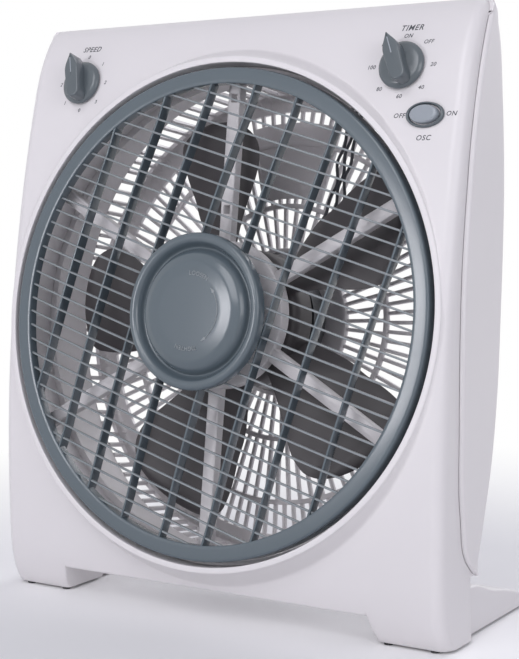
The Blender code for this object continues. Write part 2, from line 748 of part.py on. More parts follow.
def gland_place():
    return (GLAND_X, RING_Y + back_y(GLAND_HEIGHT), GLAND_HEIGHT)


def gland_turn():
    """Z out along the normal of the rear wall, which leans back here."""
    return about_x(-math.pi / 2 - slope_of(back_y, GLAND_HEIGHT))


def boss_place(k):
    angle = 2 * math.pi * (k + 0.5) / MOTOR_SCREWS
    return (BOSS_CIRCLE * math.cos(angle), BOSS_CIRCLE * math.sin(angle), 0)


def dome(x, y):
    """How far the grille's front stands forward of the ring's plane."""
    return DOME * (1 - (x * x + y * y) / RING_BORE**2)


def strips(name, offsets, pitch_axis, thickness, depth, cant, sink, stations):
    """Straight strips across the grille whose front edges follow its dome, as separate bodies."""
    made = bmesh.new()
    reach = (RING_BORE + RING_RADIUS) / 2
    for offset in offsets:
        half = math.sqrt(reach**2 - offset**2)
        rows = []
        for k in range(stations + 1):
            along = half * (2 * k / stations - 1)
            front = max(dome(along, offset), -RING_DEPTH / 2 + depth / 2) - sink
            side = thickness / 2
            row = []
            for across, deep in ((-side, 0), (side, 0), (side, -depth), (-side, -depth)):
                across += offset + deep * math.tan(cant)
                x, y = (across, along) if pitch_axis == "X" else (along, across)
                row.append(made.verts.new((x, y, front + deep)))
            rows.append(row)
        for low, high in zip(rows, rows[1:]):
            for i in range(4):
                made.faces.new((low[i - 1], low[i], high[i], high[i - 1]))
        made.faces.new(rows[0])
        made.faces.new(rows[-1])
    bmesh.ops.recalc_face_normals(made, faces=made.faces)
    mesh = bpy.data.meshes.new(name)
    made.to_mesh(mesh)
    made.free()
    return place(bpy.data.objects.new(name, mesh), frame=fan_frame, turn=about_z(-LOUVRE_LEAN))


def make_grille():
    back = RING_STAND - RING_DEPTH
    inner, outer = RING_EDGES
    grille = turned("louvre_grille", (
        (RING_BORE, RING_STAND - inner), (RING_BORE + inner, RING_STAND), (RING_RADIUS - outer, RING_STAND),
        (RING_RADIUS, RING_STAND - outer), (RING_RADIUS, back), (RING_BORE, back),
    ), GREY, fan_frame, steps=48)
    slat_offsets = [(k - (SLATS - 1) / 2) * SLAT_PITCH for k in range(SLATS)]
    bar_offsets = [(k - (BARS - 1) / 2) * BAR_PITCH for k in range(BARS)]
    slats = strips("slats", slat_offsets, "X", SLAT_THICKNESS, SLAT_DEPTH, -SLAT_CANT, GAP, 4)
    bars = strips("bars", bar_offsets, "Y", *BAR_SECTION, 0.0, 0.0, 4)
    bore = SPINDLE_RADIUS + GAP
    face = DOME - HUB_SINK
    hub = ring("hub_disc", HUB_RADIUS, bore, face - HUB_THICKNESS, face, frame=fan_frame)
    boss = ring("hub_boss", HUB_BOSS[0], bore, -CARRIER_FRONT + HUB_BOSS[1], face - HUB_SINK, frame=fan_frame)
    inside = HUB_RADIUS - 0.4 * HUB_THICKNESS
    clear = cylinder("hub_clear", inside, -BEYOND, BEYOND, frame=fan_frame, steps=ROUND)
    hole = cylinder("hub_bore", bore, -BEYOND, BEYOND, frame=fan_frame)
    add(grille, slats)
    add(grille, bars)
    cut(grille, clear)
    add(grille, hub, boss)
    return cut(grille, hole)


def make_lock_cap():
    back = DOME - HUB_SINK + GAP
    recess = CAP_FRONT - CAP_RECESS
    bore = SPINDLE_RADIUS + GAP
    button, rim = BUTTON_RADIUS, CAP_RADIUS
    return turned("lock_cap", (
        (0, BUTTON_FRONT), (button - 0.010, BUTTON_FRONT - 0.0006), (button - 0.002, CAP_FRONT),
        (button, recess), (button + 0.001, GROOVE_FRONT), (rim - 0.009, GROOVE_FRONT),
        (rim - 0.007, CAP_FRONT - 0.002), (rim - 0.0045, CAP_FRONT), (rim - 0.002, CAP_FRONT),
        (rim, recess), (rim, back), (bore, back), (bore, recess), (0, recess),
    ), GREY, fan_frame)


def make_spindle():
    tip = CAP_FRONT - CAP_RECESS - GAP
    radius, back = SPINDLE_RADIUS, -CARRIER_BACK - SPINDLE_REACH
    return turned("louvre_spindle", (
        (0, tip), (radius - 0.0006, tip), (radius, tip - 0.0006), (radius, back), (0, back),
    ), STEEL, fan_frame, steps=16)


def make_louvre_motor():
    front = -CARRIER_BACK - GAP
    radius, depth = LOUVRE_MOTOR
    bore, floor, edge = SPINDLE_RADIUS + GAP, -CARRIER_BACK - SPINDLE_REACH - GAP, 0.001
    return turned("louvre_motor", (
        (0, floor), (bore, floor), (bore, front), (radius - edge, front), (radius, front - edge),
        (radius, front - depth + edge), (radius - edge, front - depth), (0, front - depth),
    ), STEEL, fan_frame, steps=20)


def make_carrier():
    """The louvre carrier: a disc on six arms inside a thin ring that sits in the duct."""
    front, back = -CARRIER_FRONT, -CARRIER_BACK
    carrier = ring("louvre_carrier", CARRIER_RADIUS, SPINDLE_RADIUS + 0.001, back, front, WHITE, fan_frame)
    outside = COLLAR_RADIUS - GAP
    inside = outside - CARRIER_RING
    rim = ring("carrier_rim", outside, inside, front - ARM_DEPTH, front, frame=fan_frame, steps=48)
    ahead, behind = ARM_INSET
    for k in range(6):
        low = (CARRIER_RADIUS - ARM_ROOT, -ARM_WIDTH / 2, front - ARM_DEPTH + behind)
        high = (outside - CARRIER_RING / 2, ARM_WIDTH / 2, front - ahead)
        arm = box(f"arm_{k + 1}", low, high, frame=fan_frame, turn=about_z(math.radians(90 + 60 * k)))
        add(carrier, arm)
    add(carrier, rim)
    wide, tall = ARM_HOLE
    inner, outer = ARM_HOLE_PLACES
    for tag, radius in (("inner", CARRIER_RADIUS + inner), ("outer", COLLAR_RADIUS - outer)):
        low, high = (-wide / 2, radius - tall / 2, -BEYOND), (wide / 2, radius + tall / 2, BEYOND)
        cut(carrier, box("arm_hole_" + tag, low, high, frame=fan_frame))
    clear = cylinder("motor_clear", LOUVRE_MOTOR[0] + 0.001, -BEYOND, back - 0.0001, frame=fan_frame)
    return cut(carrier, clear)


def blade_surface():
    """One fan blade as an open surface: a wide leaf with a rounded tip, pitched and slightly cambered."""
    across, out = 5, 6
    root = HUB_SIZE[0] - BLADE_ROOT
    made = bmesh.new()
    rows = []
    for i in range(out + 1):
        share = i / out
        radius = root + (BLADE_RADIUS - root) * share
        spread = BLADE_ANGLE * (0.62 + 0.38 * math.sin(math.pi * min(share * 0.62 + 0.12, 1)))
        spread *= math.sqrt(max(1 - max(share - 0.72, 0) ** 2 / 0.28**2 * 0.55, 0))
        sweep = BLADE_SWEEP * share**1.4
        row = []
        for j in range(across + 1):
            v = j / across - 0.5
            angle = sweep + v * spread
            depth = BLADE_DEPTH * (1 - 0.15 * share)
            height = -BLADE_MIDDLE - v * depth + BLADE_CAMBER * (1 - 4 * v * v)
            row.append(made.verts.new((radius * math.cos(angle), radius * math.sin(angle), height)))
        rows.append(row)
    for low, high in zip(rows, rows[1:]):
        for j in range(across):
            made.faces.new((low[j], low[j + 1], high[j + 1], high[j]))
    mesh = bpy.data.meshes.new("blade_leaf")
    made.to_mesh(mesh)
    made.free()
    return mesh


def make_fan_blade():
    radius, bore = HUB_SIZE[0], SHAFT_RADIUS + GAP
    front, back, web = -HUB_FRONT, -HUB_BACK, -HUB_FRONT - HUB_WALL
    blade = turned("fan_blade", (
        (bore, front), (radius - 0.006, front), (radius - 0.002, front - 0.0015), (radius, front - 0.005),
        (radius, back), (radius - HUB_WALL, back), (radius - HUB_WALL, web), (HUB_CORE, web),
        (HUB_CORE, back + HUB_WALL), (bore, back + HUB_WALL),
    ), BLADE_GREY, fan_frame)
    leaf = blade_surface()
    for k in range(BLADES):
        obj = place(bpy.data.objects.new(f"leaf_{k + 1}", leaf), frame=fan_frame,
                    turn=about_z(2 * math.pi * k / BLADES + BLADE_START))
        wall = obj.modifiers.new("thickness", "SOLIDIFY")
        wall.thickness = BLADE_THICKNESS
        wall.offset = 0
        add(blade, obj)
    return blade


def make_bracket(name, outside, inside):
    """A motor bracket between two depths along the axis, with its bearing in its middle."""
    sign = 1 if outside < inside else -1
    outer, length = BEARING
    seat, bore = outer + GAP, ROTOR_RADIUS + AIR_GAP + BRACKET_FLOOR
    floor = -outside - sign * (BRACKET_DEPTH - BRACKET_FLOOR - HUB_WALL)
    profile = [(seat, -outside), (BRACKET_RADIUS - BRACKET_ROUND, -outside),
               (BRACKET_RADIUS, -outside - sign * BRACKET_ROUND), (BRACKET_RADIUS, -inside), (bore, -inside),
               (bore, floor), (seat, floor)]
    bracket = turned(f"motor_{name}_bracket", profile if sign > 0 else profile[::-1], CAST, fan_frame)
    start = outside + sign * GAP
    end = start + sign * min(length, BRACKET_DEPTH - HUB_WALL)
    ring(f"{name}_bearing", outer, SHAFT_RADIUS + GAP, *sorted((-start, -end)), BRONZE, fan_frame, steps=16)
    return bracket


def make_motor():
    """Shaft, rotor, stator, two brackets with their bearings, and the blade nut."""
    radius = NUT_SIZE[0]
    seat, floor, bore = -HUB_FRONT + GAP, -NUT_FRONT - NUT_FACE, SHAFT_RADIUS + GAP
    turned("blade_nut", (
        (0, -NUT_FRONT), (radius - 0.001, -NUT_FRONT), (radius, -NUT_FRONT - 0.001), (radius, seat),
        (bore, seat), (bore, floor), (0, floor),
    ), BLACK, fan_frame, steps=12)
    rear = MOTOR_BACK - GAP
    cylinder("motor_shaft", SHAFT_RADIUS, -rear + ROTOR_INSET, floor - GAP, STEEL, fan_frame)
    front = MOTOR_FRONT + BRACKET_DEPTH + GAP
    back = front + STATOR_DEPTH
    ring("motor_stator", STATOR_RADIUS, ROTOR_RADIUS + AIR_GAP, -back, -front, LAMINATION, fan_frame)
    ring("motor_rotor", ROTOR_RADIUS, bore, -back + ROTOR_INSET, -front - ROTOR_INSET, LAMINATION, fan_frame,
         steps=24)
    make_bracket("front", MOTOR_FRONT, front - GAP)
    bracket = make_bracket("rear", rear, back + GAP)
    head, thick = SCREW_HEAD
    under = -GUARD_DEPTH - GAP
    for k in range(MOTOR_SCREWS):
        at = boss_place(k)
        cut(bracket, cylinder(f"bracket_hole_{k + 1}", SCREW_RADIUS + GAP, -GUARD_DEPTH, -back,
                              frame=fan_frame, at=at, steps=10))
        tip, top = under + SCREW_LENGTH, under - thick
        turned(f"motor_screw_{k + 1}", (
            (0, tip), (SCREW_RADIUS, tip), (SCREW_RADIUS, under), (head, under), (head - 0.0008, top),
            (0, top),
        ), STEEL, fan_frame, at=at, steps=10)


def grip_outline():
    """The knob's raised grip, seen from the front: a long block with a pointed nose."""
    points = [(KNOB_GRIP * 0.55, -KNOB_RADIUS * 0.93), (KNOB_GRIP, -KNOB_RADIUS * 0.75),
              (KNOB_GRIP * 1.1, KNOB_RADIUS * 0.6), (0, KNOB_NOSE)]
    return points + [(-x, y) for x, y in reversed(points[:-1])]


def make_knob(name, frame, seat, body_name, body_size, body_material):
    """A knob, its shaft and the switch or timer behind it."""
    roof = KNOB_HEIGHT - KNOB_ROOF
    knob = turned(f"{name}_knob", (
        (0, KNOB_BASE + KNOB_CROWN), (KNOB_RADIUS - 0.003, KNOB_BASE),
        (KNOB_RADIUS - 0.0005, KNOB_BASE - 0.0018), (KNOB_RADIUS, KNOB_STAND), (0, KNOB_STAND),
    ), KNOB_GREY, frame, steps=24)
    add(knob, slab(f"{name}_grip", grip_outline(), KNOB_STAND + GAP, KNOB_HEIGHT, frame=frame))
    cut(knob, cylinder(f"{name}_bore", KNOB_SHAFT + GAP, -KNOB_HEIGHT, roof, frame=frame, steps=12))
    front = -seat_depth - GAP
    cylinder(f"{name}_shaft", KNOB_SHAFT, front - SOCKET_DEPTH, roof - GAP, STEEL, frame, steps=12)
    x, y, depth = body_size
    body = box(body_name, (-x / 2, -y / 2, front - depth), (x / 2, y / 2, front), body_material, seat,
               rounding=BODY_ROUNDING)
    socket = front - SOCKET_DEPTH - GAP
    cut(body, cylinder(f"{name}_socket", KNOB_SHAFT + GAP, socket, KNOB_HEIGHT, frame=seat, steps=12))


def oval(width, height, count=20):
    angles = [2 * math.pi * k / count for k in range(count)]
    return [(width * math.cos(angle), height * math.sin(angle)) for angle in angles]


def make_rocker():
    """The louvre switch: an oval bezel on the face, the rocker in it and the switch body behind."""
    x, y, stand = BEZEL
    width, height, proud = BUTTON
    bezel = slab("rocker_bezel", oval(x, y), BEZEL_SEAT, stand, KNOB_GREY, rocker_frame)
    hole = oval(width + BUTTON_CLEARANCE, height + BUTTON_CLEARANCE)
    cut(bezel, slab("bezel_window", hole, -2 * stand, 2 * stand, frame=rocker_frame))
    slab("rocker_button", oval(width, height), -BUTTON_SINK, proud, BUTTON_GREY, rocker_frame,
         turn=Matrix.Rotation(-ROCKER_TILT, 4, "Y"))
    wide, tall, deep = SWITCH_BODY
    front = -WALL - 2 * GAP
    switch = box("rocker_switch", (-wide / 2, -tall / 2, front - deep), (wide / 2, tall / 2, front), BLACK,
                 rocker_frame, rounding=BODY_ROUNDING)
    pocket = -BUTTON_SINK - width * math.sin(ROCKER_TILT) - GAP
    cut(switch, slab("switch_pocket", hole, pocket, proud, frame=rocker_frame))


def make_feet():
    outline = [(back_y(z) + FOOT_CLEARANCE, z) for z in (BASE, *FOOT_FRONT_HEIGHTS)]
    front = outline[-1][0]
    outline += [(front + (FOOT_REAR - front) * share, z) for share, z in FOOT_TOP]
    outline += [(FOOT_REAR, BASE + FOOT_TIP), (FOOT_REAR, BASE)]
    turn = Matrix(((0, 0, 1, 0), (1, 0, 0, 0), (0, 1, 0, 0), (0, 0, 0, 1)))
    for side, tag in ((-1, "left"), (1, "right")):
        low, high = sorted((side * FOOT_X[0], side * FOOT_X[1]))
        foot = slab(f"foot_{tag}", outline, low, high, WHITE, at=(0, RING_Y, 0), turn=turn,
                    rounding=FOOT_ROUNDING)
        add(foot, tongue("foot_tongue", side, 0))
    spots = [(side * (WIDTH / 2 - inset), FRONT_STUD_Y, f"{tag}_{where}")
             for side, tag in ((-1, "left"), (1, "right"))
             for inset, where in zip(FRONT_STUD_INSETS, ("inner", "outer"))]
    middle, rear = sum(FOOT_X) / 2, FOOT_REAR - REAR_STUD_INSET
    spots += [(-middle, rear, "left_rear"), (middle, rear, "right_rear")]
    top = BASE - GAP
    for x, y, where in spots:
        turned(f"stud_{where}", ((0, top), (STUD_RADIUS, top), (STUD_RADIUS * STUD_TAPER, 0), (0, 0)), RUBBER,
               at=(x, RING_Y + y, 0), steps=8)


def make_housing_screws():
    head, thick = SCREW_HEAD
    under = -SEAT_DEPTH + GAP
    top = under + thick
    for side, tag, x, z in screw_places():
        turned("housing_screw_" + tag, (
            (0, top), (head - 0.0008, top), (head, under), (SCREW_RADIUS, under),
            (SCREW_RADIUS, -screw_tip()), (0, -screw_tip()),
        ), STEEL, screw_frame(side, x, z, "screw_axis_" + tag), steps=10)


def make_wiring():
    """The wires that run from the motor out through the well to the controls, the capacitor and the gland."""
    low, (start, climb, end) = GUARD_DEPTH - WIRE_RISE, WIRE_TURNS
    points = (
        (STATOR_RADIUS + GAP + WIRE_RADIUS, low - WIRE_DROP), (STATOR_RADIUS + start, low),
        (WELL_RADIUS - 3 * climb, low), (WELL_RADIUS - 2 * climb, low - WIRE_CLIMB[0]),
        (WELL_RADIUS - climb, WIRE_EXIT + WIRE_CLIMB[1]), (WELL_RADIUS - end, WIRE_EXIT + WIRE_CLIMB[2]),
        (WELL_RADIUS + NOTCH[1], WIRE_EXIT), (WELL_RADIUS + NOTCH[0], WIRE_EXIT),
    )
    for k in range(WIRES):
        aside = (k - (WIRES - 1) / 2) * WIRE_SPACING
        curve = bpy.data.curves.new(f"motor_wire_{k + 1}", "CURVE")
        curve.dimensions = "3D"
        curve.bevel_depth = WIRE_RADIUS
        curve.bevel_resolution = 1
        curve.use_fill_caps = True
        spline = curve.splines.new("POLY")
        spline.points.add(len(points) - 1)
        for point, (radius, depth) in zip(spline.points, points):
            point.co = (radius, aside, -depth, 1)
        place(bpy.data.objects.new(curve.name, curve), PVC, fan_frame, turn=about_z(WIRE_ANGLE))
    wide, deep, tall = CAPACITOR
    low_z = HOUSING_SCREWS[0][1] - tall / 2 - CAPACITOR_DROP
    rear = min(back_y(low_z), back_y(low_z + tall)) - WALL - 2 * GAP
    box("run_capacitor", (CAPACITOR_X, rear - deep, low_z), (CAPACITOR_X + wide, rear, low_z + tall), BLACK,
        at=(0, RING_Y, 0), rounding=BODY_ROUNDING)
    radius, flange = GLAND_RADIUS, GLAND_RADIUS + GLAND_FLANGE
    nose, neck, top, seat = GLAND_LENGTH
    turned("cord_gland", (
        (0, nose), (radius - 0.001, nose), (radius + 0.0005, neck), (flange, top), (flange, seat),
        (radius, seat), (radius, -neck), (0, -neck),
    ), BLACK, at=gland_place(), turn=gland_turn(), steps=16)


make_front_housing()
make_rear_housing()
make_feet()
make_grille()
make_lock_cap()
make_spindle()
make_louvre_motor()
make_carrier()
make_fan_blade()
make_motor()
make_knob("speed", speed_frame, speed_seat, "speed_switch", SPEED_BODY, BLACK)
make_knob("timer", timer_frame, timer_seat, "timer_body", TIMER_BODY, CAST)
make_rocker()
make_housing_screws()
make_wiring()
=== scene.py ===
import json
import math

import bmesh
import bpy
import numpy as np
from mathutils import Matrix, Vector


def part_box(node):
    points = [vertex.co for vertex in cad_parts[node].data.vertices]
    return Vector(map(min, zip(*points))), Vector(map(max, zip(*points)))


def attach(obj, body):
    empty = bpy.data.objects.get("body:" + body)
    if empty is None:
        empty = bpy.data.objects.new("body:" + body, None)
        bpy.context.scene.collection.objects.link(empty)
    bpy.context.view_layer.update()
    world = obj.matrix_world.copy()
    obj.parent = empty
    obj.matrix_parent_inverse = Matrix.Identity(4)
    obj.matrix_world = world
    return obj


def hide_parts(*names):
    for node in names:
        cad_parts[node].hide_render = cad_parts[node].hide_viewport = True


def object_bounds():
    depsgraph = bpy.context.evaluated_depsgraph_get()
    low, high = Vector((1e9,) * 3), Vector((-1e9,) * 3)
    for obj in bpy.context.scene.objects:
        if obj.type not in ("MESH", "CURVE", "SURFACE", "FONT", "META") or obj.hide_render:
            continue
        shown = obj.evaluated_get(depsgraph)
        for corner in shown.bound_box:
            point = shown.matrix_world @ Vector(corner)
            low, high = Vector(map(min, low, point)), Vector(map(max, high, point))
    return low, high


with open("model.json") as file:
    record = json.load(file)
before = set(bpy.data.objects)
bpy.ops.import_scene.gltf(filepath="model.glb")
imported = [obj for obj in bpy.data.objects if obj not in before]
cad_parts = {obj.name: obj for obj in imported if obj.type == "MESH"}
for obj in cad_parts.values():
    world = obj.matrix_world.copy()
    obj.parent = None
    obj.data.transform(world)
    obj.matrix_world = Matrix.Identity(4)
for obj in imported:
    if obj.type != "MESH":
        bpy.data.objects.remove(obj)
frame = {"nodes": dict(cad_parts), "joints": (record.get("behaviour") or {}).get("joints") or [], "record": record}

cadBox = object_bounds()
jointOf = {joint["name"]: joint for joint in frame["joints"]}


def placeOf(at, out):
    # a place on the object: `out` along its axis, `right` along +X, `up` square to both
    out = np.array(out, float) / np.linalg.norm(out)
    right = np.array([1.0, 0.0, 0.0])
    return {"at": np.array(at, float), "right": right, "up": np.cross(out, right), "out": out}


def turnedPlace(place, angle):
    # the same place, turned about its own axis
    right = math.cos(angle) * place["right"] + math.sin(angle) * place["up"]
    return {**place, "right": right, "up": np.cross(place["out"], right)}


def toWorld(place, x, y, z):
    x, y, z = (a[..., None] for a in np.broadcast_arrays(x, y, z))
    return place["at"] + x * place["right"] + y * place["up"] + z * place["out"]


def onPlace(place, grid):
    return toWorld(place, grid[..., 0], grid[..., 1], grid[..., 2])


def jointPlace(name, sign=1):
    return placeOf(jointOf[name]["pos_m"], sign * np.array(jointOf[name]["axis"]))


fanPlace = jointPlace("fan_spin")
speedPlace = jointPlace("speed_turn")
timerPlace = jointPlace("timer_turn", -1)
rocker = jointOf["louvre_switch"]  # its axis runs up the face, square to `out`
switchPlace = placeOf(rocker["pos_m"], np.cross([1, 0, 0], rocker["axis"]))
ringY, axisHeight = fanPlace["at"][1:]
tilt = math.atan2(fanPlace["out"][2], -fanPlace["out"][1])


# Shapes shared by several pieces

def onwards(start, end, count):
    # evenly spaced values from start to end, without the start
    return np.linspace(start, end, count)[1:]


def rectangle(x0, x1, y0, y1):
    return [(x0, y0), (x1, y0), (x1, y1), (x0, y1)]


def curveThrough(points, at):
    # a cubic through (place, value) points; each slope is the gradient of its neighbours
    places, values = np.array(points).T
    slopes = np.gradient(values, places)
    i = np.clip(np.searchsorted(places, at) - 1, 0, len(places) - 2)
    span = places[i + 1] - places[i]
    t = np.clip((at - places[i]) / span, 0, 1)
    start = (2 * t**3 - 3 * t**2 + 1) * values[i] + (t**3 - 2 * t**2 + t) * span * slopes[i]
    return start + (3 * t**2 - 2 * t**3) * values[i + 1] + (t**3 - t**2) * span * slopes[i + 1]


def roll(along, length, depth):
    # an elliptic rounding: depth * (1 - sqrt(1 - (along / length)^2))
    return depth * (1 - np.sqrt(1 - np.clip(along / length, 0, 1) ** 2))


def unionOf(a, b, blend):
    # the foremost (lowest) of two depths, with a smooth fillet `blend` wide where they cross
    share = np.clip(0.5 + 0.5 * (b - a) / blend, 0, 1)
    return b + (a - b) * share - blend * share * (1 - share)


def rounded(points, radius, steps=4, closed=False):
    # each corner becomes a parabola between the points `radius` before and after it
    points = np.array(points, float)
    radii = np.broadcast_to(radius, len(points))
    t = np.linspace(0, 1, steps + 1)[:, None]
    made = []
    for i, here in enumerate(points):
        if radii[i] == 0 or (not closed and i in (0, len(points) - 1)):
            made.append(here[None])
            continue
        before, after = points[i - 1] - here, points[(i + 1) % len(points)] - here
        start = here + before * min(radii[i] / np.linalg.norm(before), 0.5)
        end = here + after * min(radii[i] / np.linalg.norm(after), 0.5)
        made.append((1 - t) ** 2 * start + 2 * t * (1 - t) * here + t**2 * end)
    return np.concatenate(made)


def turned(place, profile, steps=96):
    # (radius, height) points turned about the place's axis: (r cos a, r sin a, h)
    radius, height = np.array(profile, float).T[:, :, None]
    angle = np.linspace(0, 2 * math.pi, steps, endpoint=False)
    return toWorld(place, radius * np.cos(angle), radius * np.sin(angle), height), True


def ringOf(points, radius, corners, steps):
    # a rounded, closed section turned about the fan's axis
    section = rounded(points, radius, corners, True)
    return turned(fanPlace, np.concatenate([section, section[:1]]), steps)


def closedEnds(grid):
    # a row of its middle point before the first row and after the last, which closes both ends
    first = np.broadcast_to(grid[0].mean(0), grid[0].shape)
    last = np.broadcast_to(grid[-1].mean(0), grid[-1].shape)
    return np.concatenate([first[None], grid, last[None]])


def block(outline, low, high, edge, steps=3):
    # an outline raised from low to high; its rims are quarter circles of radius `edge`,
    # the outline moved inwards along its normals by edge * (1 - sin a)
    outline = np.array(outline, float)
    x, y = outline.T
    along = np.roll(outline, -1, 0) - np.roll(outline, 1, 0)
    area = np.sum(x * np.roll(y, -1) - y * np.roll(x, -1))
    inward = np.stack([-along[:, 1], along[:, 0]], 1) * np.sign(area)
    inward /= np.linalg.norm(inward, axis=1)[:, None]
    angle = np.linspace(0, math.pi / 2, steps + 1)
    inset = np.concatenate([edge * (1 - np.sin(angle)), edge * (1 - np.cos(angle))])
    rise = np.concatenate([low + edge * (1 - np.cos(angle)), high - edge * (1 - np.sin(angle))])
    flat = outline[None] + inset[:, None, None] * inward
    return closedEnds(np.concatenate([flat, np.broadcast_to(rise[:, None, None], (*flat.shape[:2], 1))], 2))


def tube(path, radius, sides=10):
    # a round section carried along a path, square to it; `across` starts level and is kept square
    path = np.array(path, float)
    along = np.gradient(path, axis=0)
    along /= np.linalg.norm(along, axis=1)[:, None]
    across = np.cross(along, [0.1, 0.2, 1.0])
    across /= np.linalg.norm(across, axis=1)[:, None]
    other = np.cross(along, across)
    angle = np.linspace(0, 2 * math.pi, sides, endpoint=False)[None, :, None]
    around = np.cos(angle) * across[:, None] + np.sin(angle) * other[:, None]
    return closedEnds(path[:, None] + radius * around), True


def addObject(name, data):
    made = bpy.data.objects.new(name, data)
    bpy.context.scene.collection.objects.link(made)
    return made


def makePiece(name, patches, finish, body, nodes, sharp=35, wall=0.0, facing=None):
    # joins grids of points, (rows, columns, 3) with `closes` where the columns go all round
    points, faces, count = [], [], 0
    for grid, closes in patches:
        rows, columns = grid.shape[:2]
        r, c = np.meshgrid(np.arange(rows - 1), np.arange(columns - (not closes)), indexing="ij")
        other = (c + 1) % columns
        corners = [r * columns + c, r * columns + other, (r + 1) * columns + other, (r + 1) * columns + c]
        faces.append(np.stack(corners, -1).reshape(-1, 4) + count)
        points.append(grid.reshape(-1, 3))
        count += rows * columns
    mesh = bpy.data.meshes.new(name)
    mesh.from_pydata(np.concatenate(points).tolist(), [], np.concatenate(faces).tolist())
    welded = bmesh.new()
    welded.from_mesh(mesh)
    bmesh.ops.remove_doubles(welded, verts=welded.verts, dist=0.00001)
    bmesh.ops.recalc_face_normals(welded, faces=welded.faces)
    if facing is not None:  # an open surface: its outermost face on this side points that way
        side = max(welded.faces, key=lambda face: face.calc_center_median().dot(facing))
        if side.normal.dot(facing) < 0:
            bmesh.ops.reverse_faces(welded, faces=welded.faces)
    welded.to_mesh(mesh)
    welded.free()
    finishPiece(name, mesh, finish, body, nodes, sharp, wall)


def finishPiece(name, mesh, finish, body, nodes, sharp, wall):
    piece = addObject(name, mesh)
    if wall:
        thickness = piece.modifiers.new("wall", "SOLIDIFY")
        thickness.thickness = wall
        thickness.offset = -1
        graph = bpy.context.evaluated_depsgraph_get()
        made = bpy.data.meshes.new_from_object(piece.evaluated_get(graph))
        points = np.empty(len(made.vertices) * 3, np.float32)
        made.vertices.foreach_get("co", points)
        points = np.clip(points.reshape(-1, 3), *cadBox)  # no corner of the wall stands proud of the frame
        made.vertices.foreach_set("co", points.astype(np.float32).ravel())
        piece.modifiers.clear()
        piece.data = made
    piece.data.shade_smooth()
    piece.data.set_sharp_from_angle(angle=math.radians(sharp))
    piece.data.materials.clear()
    piece.data.materials.append(skin[finish])
    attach(piece, body)
    if nodes:
        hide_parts(*nodes)


# Materials

def linear(colour):
    # six sRGB hex digits to linear red, green and blue, with alpha 1
    channels = np.array([int(colour[i:i + 2], 16) / 255 for i in (0, 2, 4)])
    channels = np.where(channels <= 0.04045, channels / 12.92, ((channels + 0.055) / 1.055) ** 2.4)
    return (*channels.tolist(), 1.0)


def addNode(tree, kind, settings=None, links=None):
    node = tree.nodes.new("ShaderNode" + kind)
    for name, value in (settings or {}).items():
        if name in node.inputs:
            node.inputs[name].default_value = value
        else:
            setattr(node, name, value)
    for name, socket in (links or {}).items():
        tree.links.new(socket, node.inputs[name])
    return node


def newMaterial(name, settings):
    made = bpy.data.materials.new(name)
    made.use_nodes = True
    shader = made.node_tree.nodes["Principled BSDF"]
    for socket, value in settings.items():
        shader.inputs[socket].default_value = value
    spot = addNode(made.node_tree, "TexCoord").outputs["Object"]
    return made, made.node_tree, shader, spot


def newSkin(name, slot, colour, shade, roughness, ior, spread, size, depth, strength):
    # Injection-moulded plastic: tone and gloss drift a little over centimetres, and the skin
    # carries the mould's spark-eroded grain, which breaks up the edge of each highlight.
    # Worked metal: all of it follows the marks of its working, drawn out along one axis.
    metal = ior is None
    made, tree, shader, spot = newMaterial(name, {"Metallic": 1.0} if metal else {"IOR": ior})
    if metal:
        spot = addNode(tree, "Mapping", {"Scale": spread}, {"Vector": spot}).outputs["Vector"]
    grain = addNode(tree, "TexNoise", {"Scale": 1 / size, "Detail": 4.0 if metal else 2.0}, {"Vector": spot})
    drift = grain
    if not metal:
        drift = addNode(tree, "TexNoise", {"Scale": 1 / spread, "Detail": 3.0}, {"Vector": spot})
    grain, drift, (smooth, rough) = grain.outputs["Fac"], drift.outputs["Fac"], roughness
    tone = addNode(tree, "MixRGB", {"Color1": linear(colour), "Color2": linear(shade)}, {"Fac": drift})
    gloss = addNode(tree, "MapRange", {"From Min": 0.3, "From Max": 0.7, "To Min": smooth, "To Max": rough},
                    {"Value": drift})
    relief = addNode(tree, "Bump", {"Strength": strength, "Distance": depth}, {"Height": grain})
    tree.links.new(tone.outputs["Color"], shader.inputs["Base Color"])
    tree.links.new(gloss.outputs["Result"], shader.inputs["Roughness"])
    tree.links.new(relief.outputs["Normal"], shader.inputs["Normal"])
    return made


